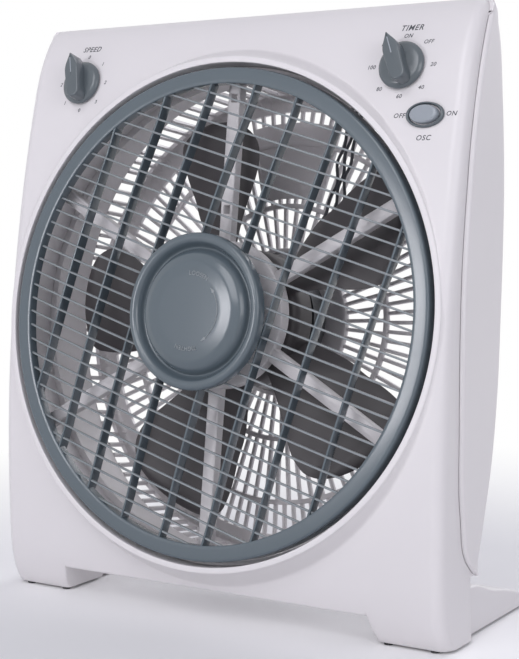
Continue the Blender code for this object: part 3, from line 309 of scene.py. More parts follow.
# Each is (slot, colour, shade, roughness from and to, IOR, how far the tone drifts, grain, bump depth,
# bump strength); a metal keeps the default IOR and has the stretch of its marks in place of the drift.
finishes = {
    # ABS from a fine-textured mould: a satin white with a faint lilac cast
    "whiteAbs": ("white_abs", "dddadb", "d9d6d7", (0.34, 0.42), 1.54, 0.12, 0.0007, 0.00002, 0.35),
    # the same ABS coloured slate, from a polished mould: soft window reflections along each rim
    "slateAbs": ("grey_abs", "59646b", "545f66", (0.17, 0.23), 1.54, 0.06, 0.0006, 0.00001, 0.25),
    # the thin bars and raised lettering of the same moulding, painted paler all over: a painted highlight for the
    # light their thin edges catch
    "rubbedAbs": ("grey_abs", "83898c", "787f83", (0.28, 0.38), 1.54, 0.03, 0.0006, 0.00001, 0.25),
    # darker glossy ABS of the knobs and the bezel: small crisp highlights
    "knobAbs": ("knob_abs", "5a6267", "555d62", (0.18, 0.26), 1.54, 0.02, 0.0005, 0.00001, 0.2),
    # pale grey glossy ABS of the switch button
    "buttonAbs": ("button_abs", "979ea5", "9298a0", (0.2, 0.28), 1.54, 0.02, 0.0005, 0.00001, 0.2),
    # polypropylene leaves: IOR 1.49 and a waxy sheen broken by flow marks
    "bladePp": ("blade_pp", "4f4c4e", "474446", (0.42, 0.55), 1.49, 0.03, 0.0009, 0.00003, 0.3),
    # soft PVC-like rubber of the studs: dull and slightly dusty
    "studRubber": ("rubber", "2b2b2d", "353537", (0.72, 0.9), 1.52, 0.004, 0.0004, 0.00004, 0.6),
    # black glass-filled nylon of the switch bodies: matte with a sparkle of fibre
    "blackNylon": ("black_nylon", "26272a", "303134", (0.45, 0.6), 1.53, 0.008, 0.0005, 0.00003, 0.5),
    # extruded PVC of the wires: smooth, dull grey
    "wirePvc": ("wire_pvc", "3a3c42", "43454b", (0.38, 0.5), 1.53, 0.01, 0.0006, 0.00001, 0.2),
    # pad-printing ink: flat dark grey, slightly uneven
    "printInk": ("white_abs", "3f4247", "4a4d52", (0.5, 0.62), 1.5, 0.002, 0.0004, 0.000005, 0.2),
    # zinc-plated steel: bluish grey, finely drawn
    "platedSteel": ("steel", "b9bcc0", "a9acb2", (0.25, 0.38), None, (1, 1, 0.2), 0.0006, 0.00001, 0.25),
    # die-cast zinc: dull, with the frosty bloom of the mould
    "castZinc": ("cast_zinc", "9da1a6", "8c9095", (0.42, 0.6), None, (1, 1, 1), 0.0012, 0.00004, 0.25),
    # laminations 0.5 mm thick, seen on edge as fine bands
    "lamination": ("lamination_steel", "6e7073", "54565a", (0.4, 0.6),
                  None, (0.05, 1, 0.15), 0.0005, 0.00005, 0.25),
    # oiled sintered bronze: brown, open-pored
    "sinteredBronze": ("sintered_bronze", "9a7b4f", "7d623c", (0.35, 0.6),
                      None, (1, 1, 1), 0.0004, 0.00004, 0.25),
}
skin = {name: newSkin(name, *finish) for name, finish in finishes.items()}
# the CAD's own nodes get the first finish of their slot
slotSkin = {finish[0]: skin[name] for name, finish in reversed(finishes.items())}
for subpart in frame["record"]["subparts"]:
    node = frame["nodes"][subpart["node"]]
    node.data.materials.clear()
    node.data.materials.append(slotSkin[subpart["material_slot"]])
print("materials made")

# The two housings

housing = {
    "height": cadBox[1][2], "halfWidth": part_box("rear_housing")[1][0], "sideStep": 0.003, "wall": 0.0025,
    "gap": 0.0003, "base": 0.002, "faceRadius": 1.087, "faceCentre": 0.235, "topRoll": (0.050, 0.016),
    "bottomRoll": (0.040, 0.014), "faceCorner": (0.009, 0.010), "stepCorner": 0.003,
    "rearCorner": (0.008, 0.007), "topCorner": (0.0054, 0.009), "rearBulge": 0.003, "archHeight": 0.0205,
    "archHalfTop": 0.130, "archHalfFloor": 0.1345, "archEdge": 0.0018, "ledge": 0.0459, "cornerShare": 0.42,
    "archAngles": (38.2, 39.2, 46.0), "swingHeight": 0.118, "ledgeRows": 17,
}
# Each point is a share of the height and a depth behind the bowed plane of the face.
rearLine = (
    (0.0, 0.0315), (0.107, 0.0480), (0.188, 0.0608), (0.279, 0.0723), (0.372, 0.0778), (0.514, 0.0773),
    (0.735, 0.0649), (0.858, 0.0493), (0.942, 0.0355), (0.982, 0.0250), (1.0, 0.0190),
)
partingLine = (
    (0.107, 0.0480), (0.133, 0.0362), (0.205, 0.0277), (0.350, 0.0235), (0.495, 0.0187), (0.580, 0.0158),
    (0.691, 0.0135), (0.807, 0.0116), (0.942, 0.0139), (1.0, 0.0175),
)
# The collar's section: the duct, the flat land and its rounded outer edge, as (radius, height) points.
collar = {
    "radius": 0.1775, "land": 0.0045, "stand": 0.001, "edge": 0.0012, "slope": (0.008, 0.017),
    "section": ((0.1775, -0.040), (0.1775, 0.001), (0.182, 0.001), (0.1822, -0.003), (0.180, -0.005),
                (0.180, -0.040)),
    "corners": (0.0005, 0.0008, 0.0012, 0.0006, 0.001, 0.0005),
    "fillet": 0.0016, "tuck": 0.0005, "slopeWidth": (0.002, 0.010), "clear": 0.0002,
}
# The well's tube: radius, and share of the way from the back wall to the front.
well = {
    "edge": 0.175, "front": 0.0405, "reach": 0.1758, "middle": 0.085,
    "tube": ((0.1746, 0.01), (0.1736, 0.03), (0.1728, 0.07), (0.1725, 0.12), (0.1725, 0.5), (0.1725, 1.0),
             (0.1795, 1.0)),
}
height = housing["height"]
frontHalf = housing["halfWidth"] - housing["sideStep"]


def planeY(z):
    # the ring's plane with an upright bow
    bow = (z - housing["faceCentre"]) ** 2 / (2 * housing["faceRadius"])
    return ringY + (z - axisHeight) * math.tan(tilt) + bow


def faceY(z):
    # the bowed plane, and the roundings into the top and bottom edges
    ends = roll(z - height + housing["topRoll"][0], *housing["topRoll"])
    return planeY(z) + ends + roll(housing["bottomRoll"][0] - z, *housing["bottomRoll"])


def partingY(z):
    return planeY(z) + curveThrough(partingLine, z / height)


def backY(z):
    # the side's rear edge and a bulge, 1 - (2z/h - 1)^6, that fades out at the top and the floor
    back = curveThrough(rearLine, z / height) + housing["rearBulge"] * (1 - (2 * z / height - 1) ** 6)
    return np.maximum(planeY(z) + back, partingY(z) + 0.002)


def halfWidth(z, step):
    across, deep = housing["topCorner"]
    return housing["halfWidth"] - step - roll(z - height + deep, deep, across)


def archHalf(z):
    rise = np.clip((z - housing["base"]) / (housing["archHeight"] - housing["base"]), 0, 1)
    return housing["archHalfFloor"] + (housing["archHalfTop"] - housing["archHalfFloor"]) * rise


def frontY(x, z):
    # the face with its bullnosed sides and the small rounding along the arch
    across, deep = housing["faceCorner"]
    sides = roll(np.abs(x) - halfWidth(z, housing["sideStep"]) + across, across, deep)
    fromArch = np.maximum(z - housing["archHeight"], np.abs(x) - archHalf(z))
    edge = housing["archEdge"]
    return faceY(z) + sides + roll(edge - fromArch, edge, edge)


def collarY(x, z):
    # the collar's slope, a cone about the fan's axis, read at a point of the front view
    y = ringY + (z - axisHeight) * math.tan(tilt)
    for _ in range(4):
        up = (z - axisHeight) * math.cos(tilt) + (y - ringY) * math.sin(tilt)
        beyond = np.hypot(x, up) - collar["radius"] - collar["land"]
        drop = np.clip(beyond, 0, None) * collar["slope"][1] / collar["slope"][0]
        out = collar["stand"] - collar["edge"] - drop
        y = ringY + ((z - axisHeight) * math.sin(tilt) - out) / math.cos(tilt)
    return y


def backSurface(x, z, step, start):
    # the back wall with elliptic corners at its sides, for a shell that begins at the depth `start`
    across, deep = housing["rearCorner"]
    deep = np.minimum(deep, housing["cornerShare"] * (backY(z) - start))
    return backY(z) - roll(np.abs(x) - halfWidth(z, step) + across, across, deep)


def lowerBack(x, z):
    return backSurface(x, z, housing["sideStep"], faceY(z))


def wallDepth(angle, radius):
    # how far behind the ring a cylinder about the fan's axis meets the back wall, and how high up
    depth = 0.08 + 0 * angle
    for _ in range(8):
        z = axisHeight + radius * np.sin(angle) * math.cos(tilt) - depth * math.sin(tilt)
        depth = (backY(z) - ringY) * math.cos(tilt) - (z - axisHeight) * math.sin(tilt)
    return depth, z


def depthRows(x, start, end, z, count):
    # an outline repeated `count` times, from the depth `start` back to the depth `end`
    t = np.linspace(0, 1, count)[:, None]
    return np.stack(np.broadcast_arrays(x, start + (end - start) * t, z), -1)


def mirrored(x, *others):
    # a right half from the bottom's middle to the top's middle, completed to a whole loop
    whole = [np.concatenate([x, -x[-2:0:-1]])]
    return whole + [np.concatenate([a, sign * a[-2:0:-1]]) for a, sign in others]


def cornerStations(half):
    # the elliptic corner between a side that is `half` out and the top
    across, deep = housing["topCorner"]
    turn = onwards(0, math.pi / 2, 9)
    return half - across * (1 - np.cos(turn)), height - deep + deep * np.sin(turn), turn


def frontStations():
    # right half of the front view: x, z and the collar angle, measured from straight down,
    # which swings wide of the arch so that no line from the collar crosses it
    base, top, ledge, ledgeRows = (housing[key] for key in ("base", "archHeight", "ledge", "ledgeRows"))
    halfTop, halfFloor, half = housing["archHalfTop"], housing["archHalfFloor"], frontHalf
    cornerAngle, floorAngle, sideAngle = (math.radians(a) for a in housing["archAngles"])
    x1 = np.linspace(0, halfTop, 50)
    own = np.arctan2(x1, axisHeight - top)
    a1 = own * cornerAngle / own[-1]
    x2, z2, a2 = onwards(halfTop, halfFloor, 8), onwards(top, base, 8), onwards(cornerAngle, floorAngle, 8)
    x3, a3 = onwards(halfFloor, half, 21), onwards(floorAngle, sideAngle, 21)
    sideTop = height - housing["topCorner"][1]
    z4 = np.concatenate([onwards(base, ledge, ledgeRows + 1), onwards(ledge, sideTop, 126)])
    spread = sideAngle - math.atan2(half, axisHeight - base)
    fade = np.clip(1 - (z4 - base) / housing["swingHeight"], 0, 1) ** 1.5
    a4 = np.arctan2(half, axisHeight - z4) + spread * fade
    x5, z5, _ = cornerStations(half)
    x6 = onwards(x5[-1], 0, 62)
    x = np.concatenate([x1, x2, x3, 0 * z4 + half, x5, x6])
    z = np.concatenate([0 * x1 + top, z2, 0 * x3 + base, z4, z5, 0 * x6 + height])
    a56 = np.arctan2(np.concatenate([x5, x6]), axisHeight - np.concatenate([z5, 0 * x6 + height]))
    floorEnd = len(x1) + len(x2) + len(x3) - 1
    return x, z, np.concatenate([a1, a2, a3, a4, a56]), floorEnd, floorEnd + ledgeRows


def makeFrontHousing():
    x, z, angle, floorEnd, ledgeEnd = frontStations()
    loopX, loopZ, loopAngle = mirrored(x, (z, 1), (angle, -1))
    # the slope at the collar's foot, then the face: from the slope's end C to the outline B
    # the rows are at C + (B - C) sin(w pi/2), closest together at the outline
    outer = collar["radius"] + collar["land"] - collar["tuck"]
    least, most = collar["slopeWidth"]
    slopeEnd = np.minimum(outer + most, (frontHalf - collar["clear"]) / np.abs(np.sin(loopAngle) + 1e-9))
    r = outer + (np.maximum(slopeEnd, outer + least) - outer) * np.linspace(0, 1, 14)[:, None]
    slopeX, slopeZ = r * np.sin(loopAngle), axisHeight - r * np.cos(loopAngle) * math.cos(tilt)
    w = np.sin(np.linspace(0, math.pi / 2, 27))[1:, None]
    faceX, faceZ = slopeX[-1] + (loopX - slopeX[-1]) * w, slopeZ[-1] + (loopZ - slopeZ[-1]) * w
    rows = []
    for x2, z2 in ((slopeX, slopeZ), (faceX, faceZ)):
        rows.append(np.stack([x2, unionOf(frontY(x2, z2), collarY(x2, z2), collar["fillet"]), z2], -1))
    surface = np.concatenate(rows)
    edge = surface[-1]
    patches = [(surface, True)]
    # side strips and the top: from the face's outline back to the parting line
    ux, uy, uz = edge[ledgeEnd:2 * (len(x) - 1) - ledgeEnd + 1].T
    patches.append((depthRows(ux, uy, partingY(uz) - housing["gap"], uz, 9), False))
    # lower side walls, back to the rear corner
    ux, uy, uz = edge[floorEnd:ledgeEnd + 1].T
    for side in (1, -1):
        patches.append((depthRows(side * ux, uy, lowerBack(ux, uz), uz, 7), False))
    # the underside: leg floors, leg sides and the arch, from the face to the back wall
    ux, uy, uz = np.concatenate([edge[1:floorEnd + 1][::-1] * [-1, 1, 1], edge[:floorEnd + 1]]).T
    patches.append((depthRows(ux, uy, lowerBack(ux, uz), uz, 7), False))
    # the back wall below the ledge, cut away round the well
    share = ((z[floorEnd:ledgeEnd + 1] - housing["base"]) / (housing["ledge"] - housing["base"]))[:, None]
    reach, ledge = well["reach"], housing["ledge"]
    around = wallDepth(-np.arccos(np.clip(ux / reach, -1, 1)), reach)[1]
    zz = uz + (np.where(np.abs(ux) < reach, np.minimum(around, ledge), ledge) - uz) * share
    patches.append((np.stack(np.broadcast_arrays(ux, lowerBack(ux, zz), zz), -1), False))
    makePiece("frontHousing", patches, "whiteAbs", "base", ["front_housing"], 40, housing["wall"], (0, -1, 0))
    makePiece("frontCollar", [ringOf(collar["section"], collar["corners"], 5, 288)], "whiteAbs", "base",
              ["front_housing"], 40)


def makeRearHousing():
    base, half = housing["ledge"] + housing["gap"], housing["halfWidth"]
    x1 = np.linspace(0, half, 60)
    z2 = onwards(base, height - housing["topCorner"][1], 120)
    x3, z3, turn = cornerStations(half)
    x4 = onwards(x3[-1], 0, 56)
    x = np.concatenate([x1, 0 * z2 + half, x3, x4])
    z = np.concatenate([0 * x1 + base, z2, z3, 0 * x4 + height])
    # how squarely the outline faces sideways
    side = np.concatenate([0 * x1, 0 * z2 + 1, np.cos(turn), 0 * x4])
    side[len(x1) - 1] = 1
    angle = np.arctan2(x, axisHeight - well["middle"] * math.sin(tilt) - z)
    loopX, loopZ, loopAngle, loopSide = mirrored(x, (z, 1), (angle, -1), (side, 1))
    depth, edgeZ = wallDepth(loopAngle - math.pi / 2, well["edge"])
    edgeX = well["edge"] * np.sin(loopAngle)
    below = edgeZ < base  # there the well passes in front of the lower back wall
    loopX, loopZ = np.where(below, edgeX, loopX), np.where(below, edgeZ, loopZ)
    w = np.sin(np.linspace(0, math.pi / 2, 29))[:, None]
    backX, backZ = edgeX + (loopX - edgeX) * w, edgeZ + (loopZ - edgeZ) * w
    start = partingY(np.maximum(backZ, base)) + housing["gap"]
    back = np.stack([backX, backSurface(backX, backZ, 0, start), backZ], -1)
    # the tube from the flange at its front to the lip on the back wall
    radius, share = np.array(well["tube"])[::-1].T[:, :, None]
    out = -depth + (depth - well["front"]) * share
    tubeRows = toWorld(fanPlace, radius * np.sin(loopAngle), -radius * np.cos(loopAngle), out)
    # the side walls and the top, forward to the parting line, with the small rounded step
    rim, start = back[-1], start[-1]
    stepY = np.minimum(housing["stepCorner"], housing["cornerShare"] * (backY(loopZ) - start))
    phi = np.linspace(math.pi / 2, 0, 6)[:, None]
    t = onwards(0, 1, 8)[:, None]
    y1 = np.concatenate([rim[:, 1] + (start + stepY - rim[:, 1]) * t, start + stepY * (1 - np.sin(phi))])
    inset = np.concatenate([0 * t, housing["stepCorner"] * (1 - np.cos(phi))]) * loopSide
    zz = np.broadcast_to(loopZ, y1.shape)
    walls = np.concatenate([rim[None], np.stack([loopX - np.sign(loopX) * inset, y1, zz], -1)])
    sides = np.arange(len(x1) - 1, 2 * len(x) - len(x1))
    patches = [(np.concatenate([tubeRows, back]), True), (walls[:, sides], False)]
    makePiece("rearHousing", patches, "whiteAbs", "base", ["rear_housing"], 40, housing["wall"], (1, 0, 0))


# Rib zones are (count, inner radius, outer radius); the outermost runs on round the corner.
guard = {
    "zones": ((112, 0.1345, None), (84, 0.087, 0.1375), (56, 0.050, 0.090)), "ribWidth": 0.0031,
    "ribDepth": 0.0032, "outside": 0.1751, "depth": 0.104, "corner": 0.010, "band": (0.0930, 0.1605),
    "rings": (0.0885, 0.136), "ringWidth": 0.0036, "ringDepth": 0.0042, "ringLift": 0.0003,
    "overlap": 0.0015, "taper": 0.8, "ribRound": 0.0005,
    "disc": ((0, 0), (0.056, 0), (0.056, 0.0060), (0.053, 0.0060), (0.053, 0.0035), (0, 0.0035)),
    "plate": (75, 104, 0.094, 0.152), "plateSpan": (-0.001, 0.0006),
}


def makeGuard():
    # a basket of ribs: each follows the floor and, in the outer zone, the corner and the wall
    half, deep, depth, outside = guard["ribWidth"] / 2, guard["ribDepth"], guard["depth"], guard["outside"]
    narrow = half * guard["taper"]
    section = rounded([(-half, 0), (half, 0), (narrow, deep), (-narrow, deep)], guard["ribRound"], 1, True)
    patches = []
    for count, start, end in guard["zones"]:
        for k in range(count):
            angle = 2 * math.pi * (k + 0.5) / count
            if end is None:
                front = guard["overlap"] - float(wallDepth(np.array(angle), outside)[0])
                path = rounded([(start, -depth), (outside, -depth), (outside, front)], guard["corner"], 5)
            else:
                path = np.array([(start, -depth), ((start + end) / 2, -depth), (end, -depth)])
            along = np.gradient(path, axis=0)
            along /= np.linalg.norm(along, axis=1)[:, None]
            inward = np.stack([-along[:, 1], along[:, 0]], 1)
            flat = path[:, None] + inward[:, None] * section[None, :, 1:]
            across = np.broadcast_to(section[:, 0], flat.shape[:2])
            rib = np.stack([flat[..., 0], across, flat[..., 1]], -1)
            patches.append((onPlace(turnedPlace(fanPlace, angle), closedEnds(rib)), True))
    low, halfRing = guard["ringLift"] - depth, guard["ringWidth"] / 2
    for radius in guard["rings"]:
        corners = rectangle(radius - halfRing, radius + halfRing, low, low + guard["ringDepth"])
        patches.append(ringOf(corners, 0.0006, 2, 144))
    # the solid band round the corner, between the slots of the wall and of the floor
    front, inner = guard["band"]
    line = rounded([(inner, -depth), (outside, -depth), (outside, -front)], guard["corner"], 6)
    inside = rounded([(inner, deep - depth), (outside - deep, deep - depth), (outside - deep, -front)],
                     guard["corner"] - deep, 6)
    patches.append(turned(fanPlace, np.concatenate([line, inside[::-1], line[:1]]), 192))
    patches.append(turned(fanPlace, rounded(np.array(guard["disc"]) - (0, depth), 0.0006, 2), 96))
    # a blank plate under the motor's leads
    first, last, inner, outer = guard["plate"]
    angle = np.radians(np.linspace(first, last, 25))[:, None]
    y0, y1 = (deep - depth + step for step in guard["plateSpan"])
    x, y = rounded(rectangle(outer, inner, y0, y1), 0.0004, 2, True).T
    plate = toWorld(fanPlace, x * np.cos(angle), x * np.sin(angle), y + 0 * angle)
    patches.append((closedEnds(plate), True))
    makePiece("rearGuard", patches, "whiteAbs", "base", ["rear_housing"])


makeFrontHousing()
print("front housing made")
makeRearHousing()
makeGuard()
print("rear housing and guard made")

# The louvre grille, its lock cap and the carrier behind it

grille = {
    "ring": 0.174, "bore": 0.1625, "depth": 0.008, "dome": 0.011, "lean": math.radians(16.2), "hub": 0.0495,
    "slatPitch": 0.0363, "slats": 8, "slatDepth": 0.011, "slatWidth": 0.0018, "cant": math.radians(8),
    "barPitch": 0.00983, "bars": 33, "barWidth": 0.0015, "barDepth": 0.0022, "tuck": 0.001,
    "ringSection": ((0.1625, -0.006), (0.1625, 0.0016), (0.1641, 0.002), (0.173, 0.002), (0.174, 0.0006),
                    (0.174, -0.0125), (0.1724, -0.0125), (0.1724, -0.006)),
    "ringCorners": (0.0004, 0.0006, 0.0008, 0.0012, 0.0012, 0.0004, 0.0004, 0),
    "hubSection": ((0.0045, 0.0102), (0.051, 0.0102), (0.051, 0.0052), (0.012, 0.0052), (0.010, -0.0125),
                   (0.0045, -0.0125)),
    "hubCorners": (0, 0.0008, 0.0008, 0.0008, 0.0008, 0),
}
cap = {
    "profile": ((0, 0.0225), (0.026, 0.0222), (0.035, 0.0214), (0.0402, 0.0192), (0.0428, 0.0158),
                (0.0438, 0.0133), (0.0448, 0.0128), (0.0460, 0.0136), (0.0474, 0.0166), (0.0488, 0.0187),
                (0.0506, 0.0195), (0.0528, 0.0194), (0.0545, 0.0184), (0.0552, 0.0165), (0.0552, 0.0130),
                (0.0550, 0.0108), (0.0545, 0.0105), (0.0, 0.0105)),
    "text": 0.0262, "letters": 0.0042, "words": (("LOOSEN", 14), ("TIGHTEN", 182)), "raised": 0.0003,
    "arrow": 0.0235, "arrowSpan": (46, 150), "arrowHalf": 0.0003, "headHalf": 0.0012, "headShare": 0.09,
}


def strip(offset, start, end, width, depth, cant, sink, pitchAcross):
    # a straight strip whose front edge follows the dome, d (1 - r^2 / b^2); behind it the
    # section leans by `cant`
    along = np.linspace(start, end, 25)[:, None]
    corners = (width * 0.45, width * 0.45, 0.0003, 0.0003)
    section = rounded(rectangle(-width / 2, width / 2, 0, -depth), corners, 2, True)
    dome = grille["dome"] * (1 - (along * along + offset * offset) / grille["bore"] ** 2)
    front = np.maximum(dome, -grille["depth"] / 2 + depth / 2) - sink
    across = offset + section[:, 0] + section[:, 1] * math.tan(cant) + 0 * along
    lengthways = along + 0 * across
    x, y = (across, lengthways) if pitchAcross else (lengthways, across)
    return closedEnds(np.stack([x, y, front + section[:, 1]], -1))


def strips(count, pitch, *shape):
    # each from the ring to the hub and from the hub to the ring, or straight across beyond the hub
    place = turnedPlace(fanPlace, -grille["lean"])
    hub = grille["hub"] - grille["tuck"]
    made = []
    for k in range(count):
        offset = (k - (count - 1) / 2) * pitch
        reach = math.sqrt(((grille["bore"] + grille["ring"]) / 2) ** 2 - offset**2)
        runs = ((-reach, reach),)
        if abs(offset) < hub:
            inner = math.sqrt(hub**2 - offset**2)
            runs = ((-reach, -inner), (inner, reach))
        made += [(onPlace(place, strip(offset, start, end, *shape)), True) for start, end in runs]
    return made


def makeGrille():
    slats = strips(grille["slats"], grille["slatPitch"], grille["slatWidth"], grille["slatDepth"],
                   grille["cant"], 0.0002, True)
    slats.append(ringOf(grille["ringSection"], grille["ringCorners"], 4, 256))
    slats.append(ringOf(grille["hubSection"], grille["hubCorners"], 3, 96))
    makePiece("louvreGrille", slats, "slateAbs", "louvre", ["louvre_grille"])
    bars = strips(grille["bars"], grille["barPitch"], grille["barWidth"], grille["barDepth"], 0.0, 0.0, False)
    # the bars take the paler copy of the slate, a painted highlight for the light on their thin edges
    makePiece("louvreBars", bars, "rubbedAbs", "louvre", ["louvre_grille"])


def capHeight(radius):
    return curveThrough(cap["profile"][:6], radius)


def onCap(radius, angle, raised):
    # a point of the cap's top by its radius and its angle clockwise from straight up
    return toWorld(fanPlace, radius * np.sin(angle), radius * np.cos(angle), capHeight(radius) + raised)


def textMesh(words, size, bold, lean, spacing):
    # a text's filled outline as bare points and faces, centred on its own middle
    curve = bpy.data.curves.new("words", "FONT")
    curve.body = words
    curve.size = size
    curve.offset = bold
    curve.shear = lean
    curve.space_character = spacing
    curve.align_x = "CENTER"
    curve.align_y = "CENTER"
    curve.resolution_u = 3
    drawn = addObject("words", curve)
    graph = bpy.context.evaluated_depsgraph_get()
    mesh = bpy.data.meshes.new_from_object(drawn.evaluated_get(graph))
    bpy.data.objects.remove(drawn)
    return mesh


def raisedWords(name, meshes, mapping, raised, finish, body):
    # flat outlines laid on a surface by `mapping`, given a thin wall so that they are solids
    joined = bmesh.new()
    for mesh, spot in meshes:
        points = np.empty(len(mesh.vertices) * 3)
        mesh.vertices.foreach_get("co", points)
        points = mapping(points.reshape(-1, 3), spot)
        mesh.vertices.foreach_set("co", points.astype(np.float32).ravel())
        joined.from_mesh(mesh)
    bmesh.ops.remove_doubles(joined, verts=joined.verts, dist=0.000002)
    flat = bpy.data.meshes.new(name)
    joined.to_mesh(flat)
    joined.free()
    finishPiece(name, flat, finish, body, [], 30, raised)


def makeLockCap():
    raised = cap["raised"]
    fine = rounded(cap["profile"], np.r_[0, np.full(len(cap["profile"]) - 2, 0.0015), 0], 4)
    makePiece("lockCap", [turned(fanPlace, fine, 192)], "slateAbs", "cap", ["lock_cap"], 30)

    def onArc(points, spot):
        # x runs clockwise round the cap from an angle off straight up, y goes outwards
        return onCap(cap["text"] + points[:, 1], spot + points[:, 0] / cap["text"], raised)

    words = [(textMesh(text, cap["letters"], 0.00003, 0.0, 1.05), math.radians(angle))
             for text, angle in cap["words"]]
    # the raised words take the paler copy of the slate, a painted highlight for the light on their strokes
    raisedWords("capWords", words, onArc, raised * 1.4, "rubbedAbs", "cap")
    # the double-headed arrow: a ribbon along an arc, widening into a head at each end
    share = np.linspace(0, 1, 61)
    first, last = cap["arrowSpan"]
    angle = np.radians(first + (last - first) * share)[:, None]
    fromEnd, head = np.minimum(share, 1 - share), cap["headShare"]
    half = cap["arrowHalf"] + cap["headHalf"] * np.clip(fromEnd / head, 0, 1) * (fromEnd < head)
    radius = cap["arrow"] + half[:, None] * np.array([-1, -0.6, 0, 0.6, 1])
    ridge = onCap(radius, angle, raised * np.array([-1.0, 0.8, 1.0, 0.8, -1.0]))
    back = radius[:, ::-1]
    under = toWorld(fanPlace, back * np.sin(angle), back * np.cos(angle), capHeight(radius) - raised)
    around = closedEnds(np.concatenate([ridge, under], 1))
    # the arrow takes the paler copy of the slate, a painted highlight for the light on its ridge
    makePiece("capArrow", [(around, True)], "rubbedAbs", "cap", [], 40)


carrier = {
    "disc": ((0.0055, -0.0145), (0.0522, -0.0145), (0.053, -0.0153), (0.053, -0.0240), (0.0508, -0.0240),
             (0.0508, -0.0175), (0.0262, -0.0175), (0.0055, -0.0175)),
    "front": 0.0145, "armStart": 0.050, "armWidth": 0.010, "armDepth": 0.009, "armInset": (0.0006, 0.0005),
    "outside": 0.1772, "rim": 0.003, "holes": (0.075, 0.155), "hole": (0.005, 0.006), "overlap": 0.001,
    "round": 0.0006, "armEdge": 0.0009, "piercedEdge": 0.0007,
}


def makeCarrier():
    start, outside, over = carrier["armStart"], carrier["outside"], carrier["overlap"]
    front = -carrier["front"]
    low, high = front - carrier["armDepth"] + carrier["armInset"][1], front - carrier["armInset"][0]
    half, end = carrier["armWidth"] / 2, outside - over
    patches = [ringOf(carrier["disc"], 0.0005, 2, 96)]

    def bar(x0, x1, y0, y1, place, edge):
        outline = rounded(rectangle(x0, x1, y0, y1), carrier["round"], 2, True)
        patches.append((onPlace(place, block(outline, low, high, edge)), True))

    for k in range(1, 6):
        bar(-half, half, start, end, turnedPlace(fanPlace, math.radians(60 * k)), carrier["armEdge"])
    # the upper arm is pierced by square holes: solid stretches with two rails beside each hole
    wide, tall = carrier["hole"]
    stops = [start] + [middle + side * tall / 2 for middle in carrier["holes"] for side in (-1, 1)] + [end]
    for y0, y1 in zip(stops[::2], stops[1::2]):
        bar(-half, half, y0, y1, fanPlace, carrier["piercedEdge"])
    for middle in carrier["holes"]:
        for x0, x1 in ((-half, -wide / 2), (wide / 2, half)):
            bar(x0, x1, middle - tall / 2 - over, middle + tall / 2 + over, fanPlace, carrier["round"])
    rim = rectangle(outside, outside - carrier["rim"], front, front - carrier["armDepth"])
    patches.append(ringOf(rim, carrier["round"], 2, 192))
    makePiece("louvreCarrier", patches, "whiteAbs", "base", ["louvre_carrier"])


makeGrille()
makeLockCap()
makeCarrier()
print("grille, cap and carrier made")

# The fan

fan = {
    "hub": ((0.0045, -0.037), (0.012, -0.037), (0.014, -0.0375), (0.040, -0.0375), (0.047, -0.0385),
            (0.050, -0.0425), (0.050, -0.0605), (0.047, -0.0605), (0.047, -0.0405), (0.010, -0.0405),
            (0.010, -0.0575), (0.0045, -0.0575)),
    "hubCorners": (0, 0.001, 0.001, 0.002, 0.003, 0.003, 0.0006, 0.0006, 0.001, 0.001, 0.0006, 0),
    "leaves": 5, "depth": 0.024, "camber": 0.004, "thick": 0.0018, "middle": 0.047, "start": math.radians(54),
    "twist": (1.05, 1.6, 0.05), "tipSink": 0.35, "thinning": 0.75,
    # outline of a leaf: radius and the angle of its rear and of its front edge
    "outline": ((0.0485, 0, -33), (0.072, 1, -37), (0.090, 0, -40), (0.103, -2, -41.5), (0.118, -3, -41.5),
                (0.130, -4, -39), (0.138, -5, -34.5), (0.144, -6, -28), (0.148, -8, -20), (0.150, -11, -14)),
}


def leafGrid():
    # r from root to tip, closest together at the tip; v across, from the front edge to the rear one;
    # out = -(v p + sink (1 - p)) depth (1.05 - 1.6 (r - 0.05)) + camber (1 - 4 v^2) p, where the
    # pitch p fades as the leaf narrows
    outline = np.array(fan["outline"])
    s = np.linspace(0, 1, 41)
    radius = outline[0, 0] + (outline[-1, 0] - outline[0, 0]) * np.sin(s * math.pi / 2)
    rear, front = (np.radians(curveThrough(outline[:, [0, k]], radius))[:, None] for k in (1, 2))
    radius = radius[:, None]
    v = np.linspace(-0.5, 0.5, 21)
    angle = (rear + front) / 2 + v * (rear - front)
    pitch = np.clip((rear - front) / math.radians(30), 0, 1)
    full, fall, root = fan["twist"]
    lag = (v * pitch + fan["tipSink"] * (1 - pitch)) * fan["depth"]
    out = -fan["middle"] - lag * (full - fall * (radius - root))
    out = out + fan["camber"] * (1 - 4 * v * v) * pitch
    middle = np.stack([radius * np.cos(angle), radius * np.sin(angle), out], -1)
    normal = np.cross(np.gradient(middle, axis=0), np.gradient(middle, axis=1))
    normal /= np.linalg.norm(normal, axis=2)[..., None]
    half = fan["thick"] / 2 * (1 - np.abs(2 * v) ** 10 * fan["thinning"])[:, None]
    return closedEnds(np.concatenate([middle + normal * half, (middle - normal * half)[:, ::-1]], 1))


def makeFan():
    patches = [ringOf(fan["hub"], fan["hubCorners"], 4, 128)]
    leaf = leafGrid()
    for k in range(fan["leaves"]):
        place = turnedPlace(fanPlace, 2 * math.pi * k / fan["leaves"] + fan["start"])
        patches.append((onPlace(place, leaf), True))
    makePiece("fanBlade", patches, "bladePp", "fan", ["fan_blade"], 40)


makeFan()
print("fan made")

# Controls on the face

